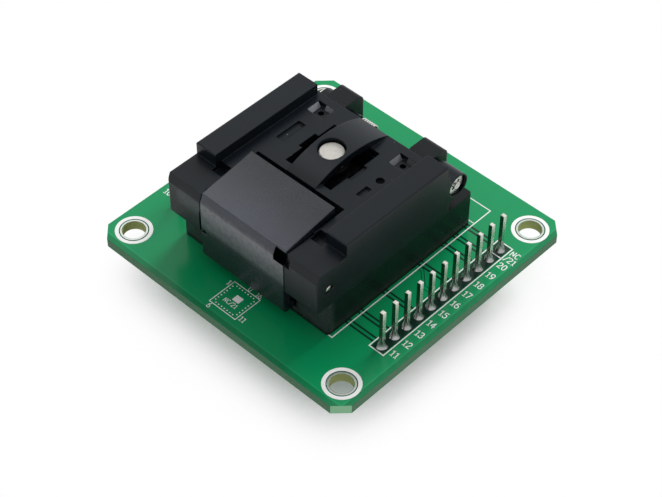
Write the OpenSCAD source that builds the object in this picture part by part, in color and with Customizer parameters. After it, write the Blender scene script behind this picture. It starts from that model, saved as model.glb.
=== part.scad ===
// Programming adapter: a hinged chip socket on a small circuit board with two rows of header pins.
// Millimetres, +Z up. X runs across the socket, +Y from the latch to the hinge, Z = 0 at the pin tips.

/* [Board] */
// board size across the header rows
board_w = 49; // [40:0.5:70]
// board size from front edge to back edge
board_d = 48; // [40:0.5:70]
// board thickness
board_t = 1.6; // [0.8:0.1:2.4]
// leg of the bevelled board corners
board_corner = 2.06; // [0:0.1:5]
// mounting hole centre, in from the side edge
hole_inset_x = 3.6; // [3:0.1:8]
// mounting hole centre, in from the front or back edge
hole_inset_y = 3.9; // [3:0.1:8]
// mounting hole diameter
hole_d = 3.5; // [2:0.1:5]

/* [Header rows] */
// pins in each row
pin_count = 11; // [4:1:16]
// distance from pin to pin
pin_pitch = 2.54; // [2:0.01:3]
// row of pins, in from the side edge of the board
row_inset = 4.18; // [3:0.01:8]
// middle of the rows, back from the board centre
row_y = 1.27; // [-4:0.01:4]
// width of a square pin
pin_w = 0.64; // [0.4:0.02:0.8]
// bevel of the upper pin ends
pin_bevel = 0.1; // [0.05:0.05:0.25]
// pin height above the board, right row
pin_up = 7.15; // [3:0.05:12]
// pin height above the board, left row
pin_up_left = 6.4; // [3:0.05:12]
// pin length below the plastic strip
pin_tail = 4; // [2:0.1:8]
// plastic strip height
strip_h = 2.5; // [1.5:0.1:4]
// plastic strip width
strip_w = 2.5; // [2:0.1:2.54]
// width of the solder cone at the board
solder_d = 1.7; // [1.2:0.05:2.2]
// height of the solder cone
solder_h = 1; // [0.5:0.05:1.5]

/* [Socket base] */
// socket centre, across from the board centre
socket_x = -0.7; // [-2:0.1:2]
// base width
base_w = 28.9; // [26:0.1:34]
// base front face
base_front = -15.3; // [-18:0.1:-13]
// base back face
base_back = 14.9; // [14:0.1:18]
// base height above the board
base_h = 6.4; // [5:0.1:9]
// bevel of the base's upright corners
base_bevel = 0.4; // [0.1:0.1:1.5]
// inner side of a hinge tower
tower_in = 6.25; // [4:0.05:8]
// tower width
tower_w = 3.85; // [2:0.05:5]
// front face of the towers
tower_front = 9.5; // [8:0.1:12]
// back face of the towers
tower_back = 13.9; // [12:0.1:15]
// tower height above the board
tower_z = 13.2; // [12:0.1:14.5]
// rounding of the tower tops
tower_round = 1; // [0.3:0.1:1.4]
// diameter of the locating pegs
peg_d = 1.5; // [1:0.1:2.5]
// peg position across and along
peg_at = 12.2; // [8:0.1:13]

/* [Hinge] */
// hinge axis, back from the board centre
hinge_y = 11.2; // [9:0.1:13]
// hinge axis height above the board
hinge_z = 10.5; // [8:0.1:13]
// hinge shaft diameter
shaft_d = 1.2; // [1:0.1:2]
// round end of the lid arms
arm_r = 2; // [1.8:0.1:3]
// outer end of the short left arm, from the socket's middle
arm_left = 11.7; // [11:0.1:13]
// retaining clip diameter
clip_d = 3.2; // [2.5:0.1:3.4]
// retaining clip thickness
clip_t = 0.4; // [0.2:0.05:0.8]
// shaft end past the clip
shaft_end = 0.35; // [0.2:0.05:1]
// spring wire diameter
wire_d = 0.4; // [0.3:0.05:0.6]
// lid knuckle between the left tower and the spring
knuckle_w = 1.3; // [0.8:0.1:2]
// turns of the hinge spring
turns = 7; // [3:1:12]

/* [Lid] */
// lid width
lid_w = 29.2; // [26:0.1:34]
// lid front face
lid_front = -17.6; // [-20:0.1:-16]
// lid back edge
lid_back = 9.4; // [7:0.1:9.4]
// lid thickness at its deck
lid_t = 7.3; // [5:0.1:9]
// step down from the deck to the front shoulders
shoulder_drop = 0.3; // [0.1:0.1:1]
// radius of the front corners
lid_corner = 0.3; // [0.2:0.1:3]
// width of the side bars
bar_w = 3.9; // [2.5:0.05:4.1]
// front end of the side bars
bar_front = -11.8; // [-14:0.1:-8]
// back end of the side bars
bar_back = 8.8; // [5:0.1:9]
// bar height above the deck
bar_h = 1.9; // [1:0.1:4]
// rounding of the bar edges
bar_round = 0.3; // [0.2:0.1:1]
// width of the arched bridge
arch_w = 5.5; // [5.2:0.1:9]
// rise of the bridge above the deck
arch_rise = 1.8; // [1:0.1:4]
// thickness of the bridge
arch_t = 1.2; // [0.8:0.1:2]
// diameter of the round window in the bridge
window_d = 4.2; // [3:0.05:5]
// slot beside the bridge
slot_w = 1.65; // [0.6:0.05:2]
// notch in the outer edge of a slot
notch_w = 0.7; // [0.3:0.05:1]
// corner pockets, depth below the deck
pocket_depth = 0.75; // [0.3:0.05:1]

/* [Latch] */
// latch width
latch_w = 16.2; // [12:0.1:18]
// latch pivot, from the board centre
latch_y = -15.2; // [-17:0.1:-13]
// latch pivot height above the board
latch_z = 9.7; // [8:0.1:12]
// latch pivot pin diameter
latch_pin_d = 1.5; // [1:0.1:2]
// thumb plate height at its front edge
plate_front_z = 13.65; // [12:0.05:15]
// thumb plate height at its back edge
plate_back_z = 15.1; // [13:0.05:17]
// back edge of the thumb plate
plate_back = -7.3; // [-10:0.1:-6]
// room behind the thumb plate
plate_gap = 1.6; // [1.2:0.1:2.5]
// cut at the right front corner of the thumb plate
corner_cut = 1.8; // [0.5:0.1:3]
// setback of the bevel along the front top edge
bevel_in = 0.6; // [0.3:0.05:1]
// height of the bevel along the front top edge
bevel_down = 1.5; // [0.5:0.05:2]
// height of the lid cheek that closes the gap at the latch's left
cheek_h = 1.85; // [1:0.05:2.5]
// nick in the left edge of the front wall
nick_w = 0.9; // [0.3:0.1:1.5]
// thickness of the thumb plate and the front wall
plate_t = 1.4; // [1:0.1:2]
// lower end of the front wall above the board
wall_foot = 1.6; // [1:0.1:3]
// hook height
hook_h = 1.2; // [0.8:0.1:2]

/* [Chip seat] */
// chip size
chip_w = 4; // [3:0.1:5]
// chip centre, back from the board centre
chip_y = 0.6; // [-2:0.1:2]
// width of the square nest
nest_w = 12; // [10:0.1:12.6]
// nest height
nest_h = 4; // [3:0.1:4.4]
// height of the chip floor above the board
seat_z = 5; // [4:0.1:5.5]
// contacts on each side
contact_count = 5; // [3:1:6]
// contact pitch
contact_pitch = 0.5; // [0.4:0.05:0.65]
// contact strip width
contact_t = 0.2; // [0.1:0.05:0.25]
// contact strip thickness
strip_t = 0.3; // [0.2:0.05:0.4]

/* [Pressure pad] */
// pad flange width
pad_w = 11; // [9:0.1:11.4]
// pad flange depth
pad_d = 9; // [8:0.1:9.6]
// pad flange thickness
flange_t = 1; // [0.6:0.1:1.5]
// height of the metal slug top above the board
slug_z = 15; // [13:0.1:15.2]
// metal slug diameter
slug_d = 3.8; // [3:0.1:4]
// metal slug height
slug_h = 3.4; // [2.5:0.1:3.6]
// bevel round the slug's top
slug_bevel = 0.15; // [0.05:0.05:0.4]
// up travel of the pad
pad_travel = 0.4; // [0.2:0.05:0.5]
// retainer plate thickness
plate2_t = 0.8; // [0.5:0.1:1.2]
// length of the retainer screws
screw_len = 3; // [2:0.1:3.5]
// thread diameter of the retainer screws
screw_d = 1.2; // [0.8:0.1:1.4]
// head diameter of the retainer screws
screw_head = 2; // [1.6:0.1:2.4]

/* [Fits] */
// radial clearance of a running shaft
run_clear = 0.04; // [0.01:0.01:0.1]
// clearance between moulded pieces that move
move_gap = 0.3; // [0.2:0.05:0.4]
// gap between lid and base when shut
shut_gap = 0.1; // [0.05:0.05:0.3]
// clearance of the sliding pad
slide_gap = 0.15; // [0.1:0.05:0.3]
// clearance of a piece laid in a pocket
lay_gap = 0.05; // [0.02:0.01:0.1]

/* [Hidden] */
$fn = 48;
eps = 0.01;
pin_down = strip_h + pin_tail;
board_bottom = pin_down;
board_top = board_bottom + board_t;
pin_hole_d = pin_w * sqrt(2) + 0.1;
hole_x = board_w / 2 - hole_inset_x;
hole_y = board_d / 2 - hole_inset_y;
row_x = board_w / 2 - row_inset;
lid_bottom = base_h + shut_gap;
deck_z = lid_bottom + lid_t;
half_lid = lid_w / 2;
bar_in = half_lid - bar_w;
bar_z = deck_z + bar_h;
opening_half = latch_w / 2 + move_gap;
opening_back = plate_back + plate_gap;
shelf_front = latch_y + 2.9;
shelf_z = lid_bottom + 2;
arch_start = opening_back - 0.1;
arch_mid = (arch_start + lid_back) / 2;
arch_half = (lid_back - arch_start) / 2;
arch_r = (arch_half * arch_half + arch_rise * arch_rise) / (2 * arch_rise);
arch_zc = deck_z + arch_rise - arch_r;
slot_front = arch_start + 1.5;
slot_back = lid_back - 3.6;
roof_t = 1.2;
roof_z = deck_z - roof_t;
cavity_w = pad_w + 2 * slide_gap + 0.4;
cavity_d = pad_d + 2 * slide_gap + 0.4;
tower_r = sqrt(pow(hinge_y - tower_front, 2) + pow(tower_z - hinge_z, 2)) + 0.1;
tower_cut_r = tower_r + move_gap;
shaft_r = shaft_d / 2;
groove_r = shaft_r * 0.75;
clip_x = half_lid - 0.45 - clip_t;
clip_pocket = clip_x - lay_gap;
clip_left = -arm_left - lay_gap - clip_t;
shaft_left = clip_left - shaft_end;
shaft_right = clip_x + clip_t + shaft_end;
coil_in = shaft_r + lay_gap;
coil_pitch = wire_d * 1.1;
knuckle_in = -tower_in + move_gap;
coil_start = knuckle_in + knuckle_w + 0.25 + wire_d / 2;
coil_end = coil_start + (turns - 1) * coil_pitch;
wall_in = lid_front + 0.05 + plate_t;
bevel_z = plate_front_z - bevel_down;
shoulder_z = deck_z - shoulder_drop;
cheek_foot = bevel_z - cheek_h;
nick_h = nick_w * 0.8;
notch_back = lid_front + corner_cut / 2.5;
notch_foot = plate_front_z - 1.2 * corner_cut;
hook_top = wall_foot + hook_h;
hook_tip = base_front - 0.05;
screw_x = 8;
screw_front = chip_y - 4.2;
screw_back = chip_y + 6.15;
retainer_w = 2 * screw_x + 3.2;
retainer_front = screw_front - 1.2;
retainer_back = screw_back + 1.65;
retainer_z = lid_bottom + plate2_t;
pad_nose = chip_w - 0.4;
pad_spring_x = pad_w / 2 - 1.1;
pad_spring_y = pad_d / 2 - 1.1;
tail_reach = 2.6;
contact_half = contact_count * contact_pitch / 2 + 0.1;
nest_web = 0.06;
tail_near = chip_w / 2 + tail_reach;
tail_step = 1.2;
tail_hole_d = 0.56;
tail_below = 0.7;
latch_wire = 0.35;
latch_coil_in = 0.7;
latch_spring_x = latch_w / 3;
latch_spring_y = plate_back - 1.7;
pad_wire = 0.3;
pad_coil_in = 0.5;
seat_room = 0.15;
pocket_half = 1.55;
pocket_front = screw_back - 1.35;
pocket_back = screw_back + 1.25;
relief_x = base_w / 2 - 3.85;
relief_half = 1.6;
relief_depth = 1.2;
bar_pocket_x = bar_in - 1.05;

// places children with the socket centre line and the board's upper face as origin
module in_socket() {
    translate([socket_x, 0, board_top]) children();
}

// drives a side outline (along Y, up Z) across X from x0 to x1
module across(x0, x1) {
    translate([x0, 0, 0]) rotate([90, 0, 90]) linear_extrude(height = x1 - x0) children();
}

// drives a front outline (along X, up Z) from y0 back to y1
module along(y0, y1) {
    translate([0, y1, 0]) rotate([90, 0, 0]) linear_extrude(height = y1 - y0) children();
}

// box between two corners
module span(x0, x1, y0, y1, z0, z1) {
    translate([x0, y0, z0]) cube([x1 - x0, y1 - y0, z1 - z0]);
}

// rod along X
module rod(r, x0, x1, y, z) {
    translate([x0, y, z]) rotate([0, 90, 0]) cylinder(r = r, h = x1 - x0);
}

// upper half-plane outline with one rounded corner at far u and top v
module soft_corner(u, v, r) {
    square([u - r, v]);
    square([u, v - r]);
    translate([u - r, v - r]) circle(r);
}

// places of one header row, from the front pin to the back pin
module each_pin(side) {
    for (i = [0 : pin_count - 1])
        translate([side * row_x, row_y + (i - (pin_count - 1) / 2) * pin_pitch, 0]) children();
}

// the four sides of the chip, children drawn outward along +X
module chip_side(turn) {
    translate([0, chip_y, 0]) rotate([0, 0, turn]) children();
}

// every second tail stands further out
function tail_at(i) = tail_near + (i % 2) * tail_step;

module tail_spots() {
    for (turn = [0, 90, 180, 270])
        chip_side(turn)
            for (i = [0 : contact_count - 1])
                translate([tail_at(i) + strip_t / 2, (i - (contact_count - 1) / 2) * contact_pitch, 0])
                    children();
    translate([0, chip_y, 0]) children();
}

// board outline with bevelled corners
module board_plan() {
    a = board_w / 2;
    b = board_d / 2;
    c = board_corner;
    polygon([[-a + c, -b], [a - c, -b], [a, -b + c], [a, b - c], [a - c, b], [-a + c, b],
        [-a, b - c], [-a, -b + c]]);
}

// board with mounting holes, pin holes, peg holes and contact holes
module circuit_board() {
    color([0.05, 0.42, 0.2]) difference() {
        translate([0, 0, board_bottom]) linear_extrude(height = board_t) board_plan();
        for (x = [-hole_x, hole_x], y = [-hole_y, hole_y])
            translate([x, y, board_bottom - 1]) cylinder(d = hole_d, h = board_t + 2);
        for (side = [-1, 1])
            each_pin(side) translate([0, 0, board_bottom - 1])
                cylinder(d = pin_hole_d, h = board_t + 2, $fn = 24);
        in_socket() {
            for (s = [-1, 1])
                translate([s * peg_at, s * peg_at, -board_t - 1]) cylinder(d = peg_d, h = board_t + 2);
            tail_spots() translate([0, 0, -board_t - 1]) cylinder(d = tail_hole_d, h = board_t + 2, $fn = 24);
        }
    }
}

// side outline of a square pin: pointed below, a small bevel above
module pin_outline(up) {
    h = pin_w / 2;
    b = pin_bevel;
    z1 = board_top + up;
    polygon([[-h / 2, 0], [h / 2, 0], [h, 0.5], [h, z1 - b], [h - b, z1], [b - h, z1], [-h, z1 - b],
        [-h, 0.5]]);
}

module square_pin(up) {
    intersection() {
        along(-pin_w, pin_w) pin_outline(up);
        across(-pin_w, pin_w) pin_outline(up);
    }
}

module header_pins(side, up) {
    color([0.85, 0.8, 0.62]) each_pin(side) square_pin(up);
}

module header_pins_left() {
    header_pins(-1, pin_up_left);
}

module header_pins_right() {
    header_pins(1, pin_up);
}

// plastic strip under the board, waisted between the pins
module header_strip(side) {
    a = strip_w / 2;
    p = pin_pitch / 2;
    n = pin_pitch / 5;
    color([0.05, 0.05, 0.05]) difference() {
        union() {
            each_pin(side)
                translate([0, 0, board_bottom - strip_h]) linear_extrude(height = strip_h)
                    polygon([[-a + n, -p], [a - n, -p], [a, -p + n], [a, p - n], [a - n, p], [-a + n, p],
                        [-a, p - n], [-a, -p + n]]);
        }
        each_pin(side) span(-pin_w / 2, pin_w / 2, -pin_w / 2, pin_w / 2, 0, board_top);
    }
}

module header_strip_left() {
    header_strip(-1);
}

module header_strip_right() {
    header_strip(1);
}

// hollow solder cone round every pin on the upper face
module header_solder(side) {
    r = solder_d / 2;
    sweep = solder_h * 0.95;
    neck = pin_w * 0.75;
    color([0.62, 0.63, 0.64]) each_pin(side) difference() {
        translate([0, 0, board_top]) rotate_extrude($fn = 32) difference() {
            square([r, solder_h]);
            translate([neck + sweep, solder_h]) circle(sweep);
        }
        span(-pin_w / 2, pin_w / 2, -pin_w / 2, pin_w / 2, board_top - 1, board_top + solder_h + 1);
    }
}

module header_solder_left() {
    header_solder(-1);
}

module header_solder_right() {
    header_solder(1);
}

// side outline of a hinge tower
module tower_side() {
    r = tower_round;
    low = base_h - 1;
    depth = tower_back - tower_front;
    translate([tower_front, low]) square([depth, tower_z - r - low]);
    translate([tower_front + r, low]) square([depth - 2 * r, tower_z - low]);
    for (y = [tower_front + r, tower_back - r])
        translate([y, tower_z - r]) circle(r);
}

// moulded base with the hinge towers, the chip well and the latch groove
module socket_base() {
    c = base_bevel;
    a = base_w / 2;
    color([0.06, 0.06, 0.07]) in_socket() difference() {
        union() {
            linear_extrude(height = base_h)
                polygon([[-a + c, base_front], [a - c, base_front], [a, base_front + c], [a, base_back - c],
                    [a - c, base_back], [-a + c, base_back], [-a, base_back - c], [-a, base_front + c]]);
            for (s = [-1, 1])
                across(s * (tower_in + tower_w / 2) - tower_w / 2, s * (tower_in + tower_w / 2) + tower_w / 2)
                    tower_side();
            for (s = [-1, 1])
                translate([s * peg_at, s * peg_at, -board_t]) cylinder(d = peg_d, h = board_t + 1);
        }
        w = nest_w / 2 + lay_gap;
        span(-w, w, chip_y - w, chip_y + w, base_h - nest_h - 0.4, base_h + 1);
        for (turn = [0, 90, 180, 270])
            chip_side(turn) {
                span(tail_near - 0.2, tail_near + tail_step + strip_t + 0.2, -contact_half, contact_half, -1,
                    base_h);
            }
        translate([0, chip_y, -1]) cylinder(d = 1.2, h = base_h);
        span(-opening_half, opening_half, base_front - 1, base_front + 0.95, wall_foot - move_gap,
            hook_top + move_gap / 2);
        rod(shaft_r, -half_lid, half_lid, hinge_y, hinge_z);
        for (s = [-1, 1])
            translate([s * relief_x, 0, base_h - relief_depth]) {
                span(-relief_half, relief_half, base_front + 4.3, base_front + 7.7, 0, relief_depth + 1);
                span(-relief_half, relief_half, chip_y - 5.6, chip_y + 4.9, 0, relief_depth + 1);
            }
    }
}

// square funnel down to the chip
module funnel(z0, z1, w0, w1) {
    intersection() {
        along(-w1, w1) polygon([[-w0 / 2, z0], [w0 / 2, z0], [w1 / 2, z1], [-w1 / 2, z1]]);
        across(-w1, w1) polygon([[-w0 / 2, z0], [w0 / 2, z0], [w1 / 2, z1], [-w1 / 2, z1]]);
    }
}

// nest that centres the chip over the contacts
module chip_nest() {
    w = nest_w / 2;
    z0 = base_h - nest_h - 0.4;
    z1 = z0 + nest_h;
    c = chip_w + 0.1;
    color([0.09, 0.09, 0.1]) in_socket() translate([0, chip_y, 0]) difference() {
        span(-w, w, -w, w, z0, z1);
        funnel(z1 - 0.5, z1 + 0.1, c, c + 2.6);
        span(-c / 2, c / 2, -c / 2, c / 2, seat_z, z1 + 1);
        for (turn = [0, 90, 180, 270])
            rotate([0, 0, turn]) {
                difference() {
                    span(chip_w / 2 - 0.6, tail_near + tail_step + strip_t + 0.2, -contact_half, contact_half,
                        z0 - 1, seat_z + 0.25);
                    // webs along the diagonals hold the chip floor where two slots come close
                    for (s = [-1, 1])
                        rotate([0, 0, s * 45]) span(0, nest_w, -nest_web / 2, nest_web / 2, z0 - 2, z1 + 1);
                }
            }
        translate([0, 0, z0 - 1]) cylinder(d = 1.2, h = nest_h + 2);
    }
}

// one bent contact strip with its tail through the board
module contact_strip(tail) {
    tip = chip_w / 2 - 0.35;
    elbow = seat_z - 0.7;
    rotate([90, 0, 0]) translate([0, 0, -contact_t / 2]) linear_extrude(height = contact_t)
        polygon([[tip, seat_z + 0.1], [tip + strip_t, seat_z + 0.1], [tip + strip_t, elbow],
            [tail + strip_t, elbow], [tail + strip_t, -board_t - tail_below],
            [tail, -board_t - tail_below], [tail, elbow - strip_t], [tip, elbow - strip_t]]);
}

module contact_row(turn) {
    color([0.86, 0.7, 0.36]) in_socket() chip_side(turn)
        for (i = [0 : contact_count - 1])
            translate([0, (i - (contact_count - 1) / 2) * contact_pitch, 0]) contact_strip(tail_at(i));
}

module contacts_right() {
    contact_row(0);
}

module contacts_back() {
    contact_row(90);
}

module contacts_left() {
    contact_row(180);
}

module contacts_front() {
    contact_row(270);
}

// centre contact under the chip
module ground_contact() {
    color([0.86, 0.7, 0.36]) in_socket() translate([0, chip_y, 0]) {
        translate([0, 0, -board_t - tail_below]) cylinder(d = 0.4, h = board_t + tail_below + 0.5);
        translate([0, 0, 0]) cylinder(d = 0.9, h = seat_z - 1.2);
        translate([0, 0, seat_z - 1.3]) cylinder(d = 0.5, h = 1.4);
    }
}

// small solder domes on the lower face round the contact tails
module tail_solder() {
    color([0.62, 0.63, 0.64]) difference() {
        in_socket() tail_spots() translate([0, 0, -board_t - 0.45])
            cylinder(d1 = 0.5, d2 = 0.86, h = 0.45, $fn = 24);
        in_socket() translate([0, chip_y, -board_t - 2]) cylinder(d = 0.4, h = 4);
        in_socket()
            for (turn = [0, 90, 180, 270])
                chip_side(turn)
                    for (i = [0 : contact_count - 1])
                        translate([tail_at(i), (i - (contact_count - 1) / 2) * contact_pitch, 0])
                            span(0, strip_t, -contact_t / 2, contact_t / 2, -board_t - 2, 0);
    }
}

// steel hinge shaft in two lengths, with a groove for each clip
module hinge_shaft() {
    color([0.75, 0.76, 0.78]) in_socket() difference() {
        union() {
            rod(shaft_r, shaft_left, coil_end + wire_d, hinge_y, hinge_z);
            rod(shaft_r, tower_in, shaft_right, hinge_y, hinge_z);
        }
        for (x = [clip_left, clip_x])
            difference() {
                rod(shaft_r + 1, x, x + clip_t, hinge_y, hinge_z);
                rod(groove_r, -half_lid, half_lid, hinge_y, hinge_z);
            }
    }
}

// E-shaped retaining clip, open toward the bottom back
module clip_plan() {
    difference() {
        circle(clip_d / 2);
        circle(groove_r);
        translate([-groove_r * 0.85, 0]) square([groove_r * 1.7, clip_d]);
        for (s = [-1, 1])
            translate([s * groove_r * 1.45, groove_r * 0.05]) circle(groove_r * 0.62);
    }
}

module hinge_clip(x) {
    color([0.82, 0.82, 0.8]) in_socket()
        translate([x, hinge_y, hinge_z])
            rotate([90, 0, 90]) linear_extrude(height = clip_t) rotate([0, 0, -140]) clip_plan();
}

module hinge_clip_left() {
    hinge_clip(clip_left);
}

module hinge_clip_right() {
    hinge_clip(clip_x);
}

// close-wound coil outline: wire circles side by side
module coil_wall(r, wire, pitch, n) {
    for (i = [0 : n - 1])
        translate([r + wire / 2, i * pitch]) circle(wire / 2);
    translate([r + wire * 0.3, 0]) square([wire * 0.4, (n - 1) * pitch]);
}

// torsion spring on the shaft beside the left tower
module hinge_spring() {
    leg_d = wire_d * 0.9;
    color([0.7, 0.71, 0.73]) in_socket() {
        translate([coil_start, hinge_y, hinge_z]) rotate([0, 90, 0]) rotate_extrude($fn = 32)
            coil_wall(coil_in, wire_d, coil_pitch, turns);
        translate([coil_start, hinge_y, base_h])
            cylinder(d = leg_d, h = hinge_z - base_h - coil_in - wire_d / 2);
        translate([coil_end, hinge_y - coil_in - wire_d / 2, hinge_z]) rotate([90, 0, 0])
            cylinder(d = leg_d, h = hinge_y - coil_in - wire_d / 2 - lid_back + 0.7);
    }
}

// lid outline seen from above
module lid_plan() {
    r = lid_corner;
    difference() {
        translate([-half_lid, lid_front]) square([lid_w, lid_back - lid_front]);
        for (s = [-1, 1])
            translate([s * half_lid, lid_front]) square(2 * r, center = true);
    }
    for (s = [-1, 1])
        translate([s * (half_lid - r), lid_front + r]) circle(r);
}

// raised side bar with soft outer and front edges
module side_bar() {
    intersection() {
        along(bar_front, bar_back) translate([bar_in, deck_z - 1]) soft_corner(bar_w, bar_h + 1, bar_round);
        across(bar_in - 1, half_lid + 1)
            translate([bar_back, deck_z - 1]) mirror([1, 0])
                soft_corner(bar_back - bar_front, bar_h + 1, bar_round);
    }
}

// arm behind the bar, rounded about the hinge shaft
module lid_arm(x0, x1) {
    across(x0, x1) {
        translate([hinge_y, hinge_z]) circle(arm_r);
        translate([lid_back - 0.5, hinge_z - arm_r]) square([hinge_y - lid_back + 0.5, 2 * arm_r]);
    }
}

// short knuckle on the shaft at the left tower
module lid_knuckle() {
    r = coil_in + wire_d;
    across(knuckle_in, knuckle_in + knuckle_w)
        polygon([[lid_back - 0.5, hinge_z - r], [hinge_y, hinge_z - r], [hinge_y, hinge_z + r],
            [lid_back - 0.5, hinge_z + r]]);
    rod(r, knuckle_in, knuckle_in + knuckle_w, hinge_y, hinge_z);
}

// arched bridge over the pad with its round window
module arch_bridge() {
    difference() {
        across(-arch_w / 2, arch_w / 2) difference() {
            intersection() {
                translate([arch_mid, arch_zc]) circle(arch_r, $fn = 96);
                translate([arch_start + 0.1, deck_z - roof_t])
                    square([lid_back - arch_start - 0.1, arch_rise + 2]);
            }
            intersection() {
                translate([arch_mid, arch_zc]) circle(arch_r - arch_t, $fn = 96);
                translate([slot_front, deck_z - roof_t - 1]) square([slot_back - slot_front, arch_rise + 3]);
            }
        }
        translate([0, chip_y, deck_z - 3]) cylinder(d = window_d, h = arch_rise + 6);
    }
}

// room in the lid for the latch: open at the front, a spring shelf at the back
module latch_room() {
    span(-opening_half, opening_half, lid_front - 1, shelf_front, lid_bottom - 1, deck_z + 1);
    span(-opening_half, opening_half, shelf_front - eps, opening_back, shelf_z, deck_z + 1);
}

// what the bevel takes off the front top edge, seen from the side
module front_bevel() {
    polygon([[lid_front - 1, bevel_z], [lid_front, bevel_z],
        [lid_front + 2 * bevel_in, bevel_z + 2 * bevel_down], [lid_front - 1, bevel_z + 2 * bevel_down]]);
}

// cheek of the left shoulder, close beside the latch
module lid_cheek() {
    difference() {
        span(-opening_half - eps, -latch_w / 2 - 2 * lay_gap, lid_front, lid_front + plate_t, cheek_foot,
            shoulder_z);
        across(-half_lid, 0) front_bevel();
    }
}

module lid_frame() {
    slot_x = arch_w / 2 + slot_w;
    color([0.07, 0.07, 0.08]) in_socket() {
        lid_cheek();
        difference() {
            union() {
                translate([0, 0, lid_bottom]) linear_extrude(height = lid_t) lid_plan();
                side_bar();
                mirror([1, 0, 0]) side_bar();
                lid_arm(bar_in, half_lid);
                lid_arm(-arm_left, -tower_in - tower_w - move_gap);
                lid_knuckle();
                intersection() {
                    arch_bridge();
                    span(-arch_w / 2, arch_w / 2, lid_front, lid_back, deck_z - eps, deck_z + arch_rise + 1);
                }
            }
            latch_room();
            // front shoulders lie a little lower than the deck
            span(-half_lid - 1, half_lid + 1, lid_front - 1, bar_front, shoulder_z, deck_z + 1);
            across(-half_lid - 1, half_lid + 1) front_bevel();
            span(0, opening_half + corner_cut / 2, lid_front - 1, notch_back, notch_foot, deck_z + 1);
            // well for the pad, and the window side slots
            span(-cavity_w / 2, cavity_w / 2, chip_y - cavity_d / 2, chip_y + cavity_d / 2, lid_bottom - 1,
                roof_z);
            difference() {
                span(-slot_x, slot_x, slot_front, slot_back, roof_z - eps, deck_z + arch_rise);
                arch_bridge();
            }
            translate([0, chip_y, roof_z - 1]) cylinder(d = window_d, h = arch_rise + 6);
            // notch beside each slot, through on the left and shallow on the right
            span(-slot_x - notch_w, -slot_x + eps, chip_y - 1.5, chip_y + 1.9, roof_z - eps, deck_z + 1);
            span(slot_x - eps, slot_x + notch_w, chip_y - 1.5, chip_y + 1.9, deck_z - roof_t / 3, deck_z + 1);
            // seat of the retainer plate
            span(-retainer_w / 2 - lay_gap, retainer_w / 2 + lay_gap, retainer_front - lay_gap,
                retainer_back + lay_gap, lid_bottom - 1, retainer_z);
            for (x = [-screw_x, screw_x], y = [screw_front, screw_back])
                translate([x, y, lid_bottom]) cylinder(d = screw_d, h = screw_len + 0.4, $fn = 24);
            // room for the towers, pockets and through holes in front of them
            for (s = [-1, 1]) {
                rod(tower_cut_r, s * (tower_in + tower_w / 2) - tower_w / 2 - move_gap,
                    s * (tower_in + tower_w / 2) + tower_w / 2 + move_gap, hinge_y, hinge_z);
                span(s * screw_x - pocket_half, s * screw_x + pocket_half, pocket_front, pocket_back,
                    deck_z - pocket_depth, deck_z + 1);
                translate([s * screw_x, screw_back, lid_bottom]) cylinder(d = 0.9, h = lid_t + 1, $fn = 24);
            }
            // hinge bores, with a pocket for the right clip
            rod(shaft_r + run_clear, -half_lid - 1, half_lid + 1, hinge_y, hinge_z);
            rod(clip_d / 2 + slide_gap, clip_pocket, half_lid + 1, hinge_y, hinge_z);
            // bores of the latch pin
            rod(latch_pin_d / 2, -half_lid - 1, half_lid + 1, latch_y, latch_z);
            // slot for the free leg of the hinge spring
            span(coil_end - 0.5, coil_end + 0.5, lid_back - 1.1, lid_back + 1, hinge_z - 0.5, hinge_z + 0.5);
            // shallow marks and a small blind hole in the deck
            span(-bar_in + 2, -bar_in + 3.4, chip_y - 2.45, chip_y + 2.25, deck_z - 0.4, deck_z + 1);
            span(bar_in - 3.2, bar_in - 2.25, chip_y - 3.1, chip_y - 0.85, deck_z - 0.4, deck_z + 1);
            translate([bar_in - 2.55, chip_y + 1.2, deck_z - 0.6]) cylinder(d = 1.3, h = 2, $fn = 24);
            for (s = [-1, 1])
                span(s * bar_pocket_x - 1.05, s * bar_pocket_x + 1.05, bar_front - 0.9, bar_front + 1.1,
                    deck_z - 1.1, deck_z + 0.2);
        }
    }
}

// pad outline: flange, body and nose that presses the chip
module pressure_pad() {
    z0 = retainer_z;
    color([0.1, 0.1, 0.11]) in_socket() translate([0, chip_y, 0]) difference() {
        union() {
            span(-pad_w / 2, pad_w / 2, -pad_d / 2, pad_d / 2, z0, z0 + flange_t);
            span(-2.9, 2.9, -2.9, 2.9, z0, deck_z - roof_t - 1);
            translate([0, 0, z0]) cylinder(d = slug_d + 1.2, h = slug_z - z0 - 2);
            span(-pad_nose / 2, pad_nose / 2, -pad_nose / 2, pad_nose / 2, seat_z + 0.95, z0 + 1);
        }
        translate([0, 0, slug_z - slug_h]) cylinder(d = slug_d, h = slug_h + 2.6);
        for (x = [-1, 1], y = [-1, 1])
            translate([x * pad_spring_x, y * pad_spring_y, z0 + flange_t - 0.3])
                cylinder(r = pad_coil_in + pad_wire + seat_room, h = 2, $fn = 24);
    }
}

// metal slug seen through the window
module pad_slug() {
    color([0.86, 0.84, 0.8]) in_socket() translate([0, chip_y, slug_z - slug_h]) {
        cylinder(d = slug_d, h = slug_h - slug_bevel);
        translate([0, 0, slug_h - slug_bevel]) cylinder(d1 = slug_d, d2 = slug_d - 2 * slug_bevel, h = slug_bevel);
    }
}

// four small compression springs above the pad flange
module pad_springs() {
    z0 = retainer_z + flange_t - 0.3;
    n = 8;
    wire = pad_wire;
    color([0.72, 0.73, 0.75]) in_socket() translate([0, chip_y, 0])
        for (x = [-1, 1], y = [-1, 1])
            translate([x * pad_spring_x, y * pad_spring_y, z0 + wire / 2]) rotate_extrude($fn = 24)
                coil_wall(pad_coil_in, wire, (roof_z - z0 - wire) / (n - 1), n);
}

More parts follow.
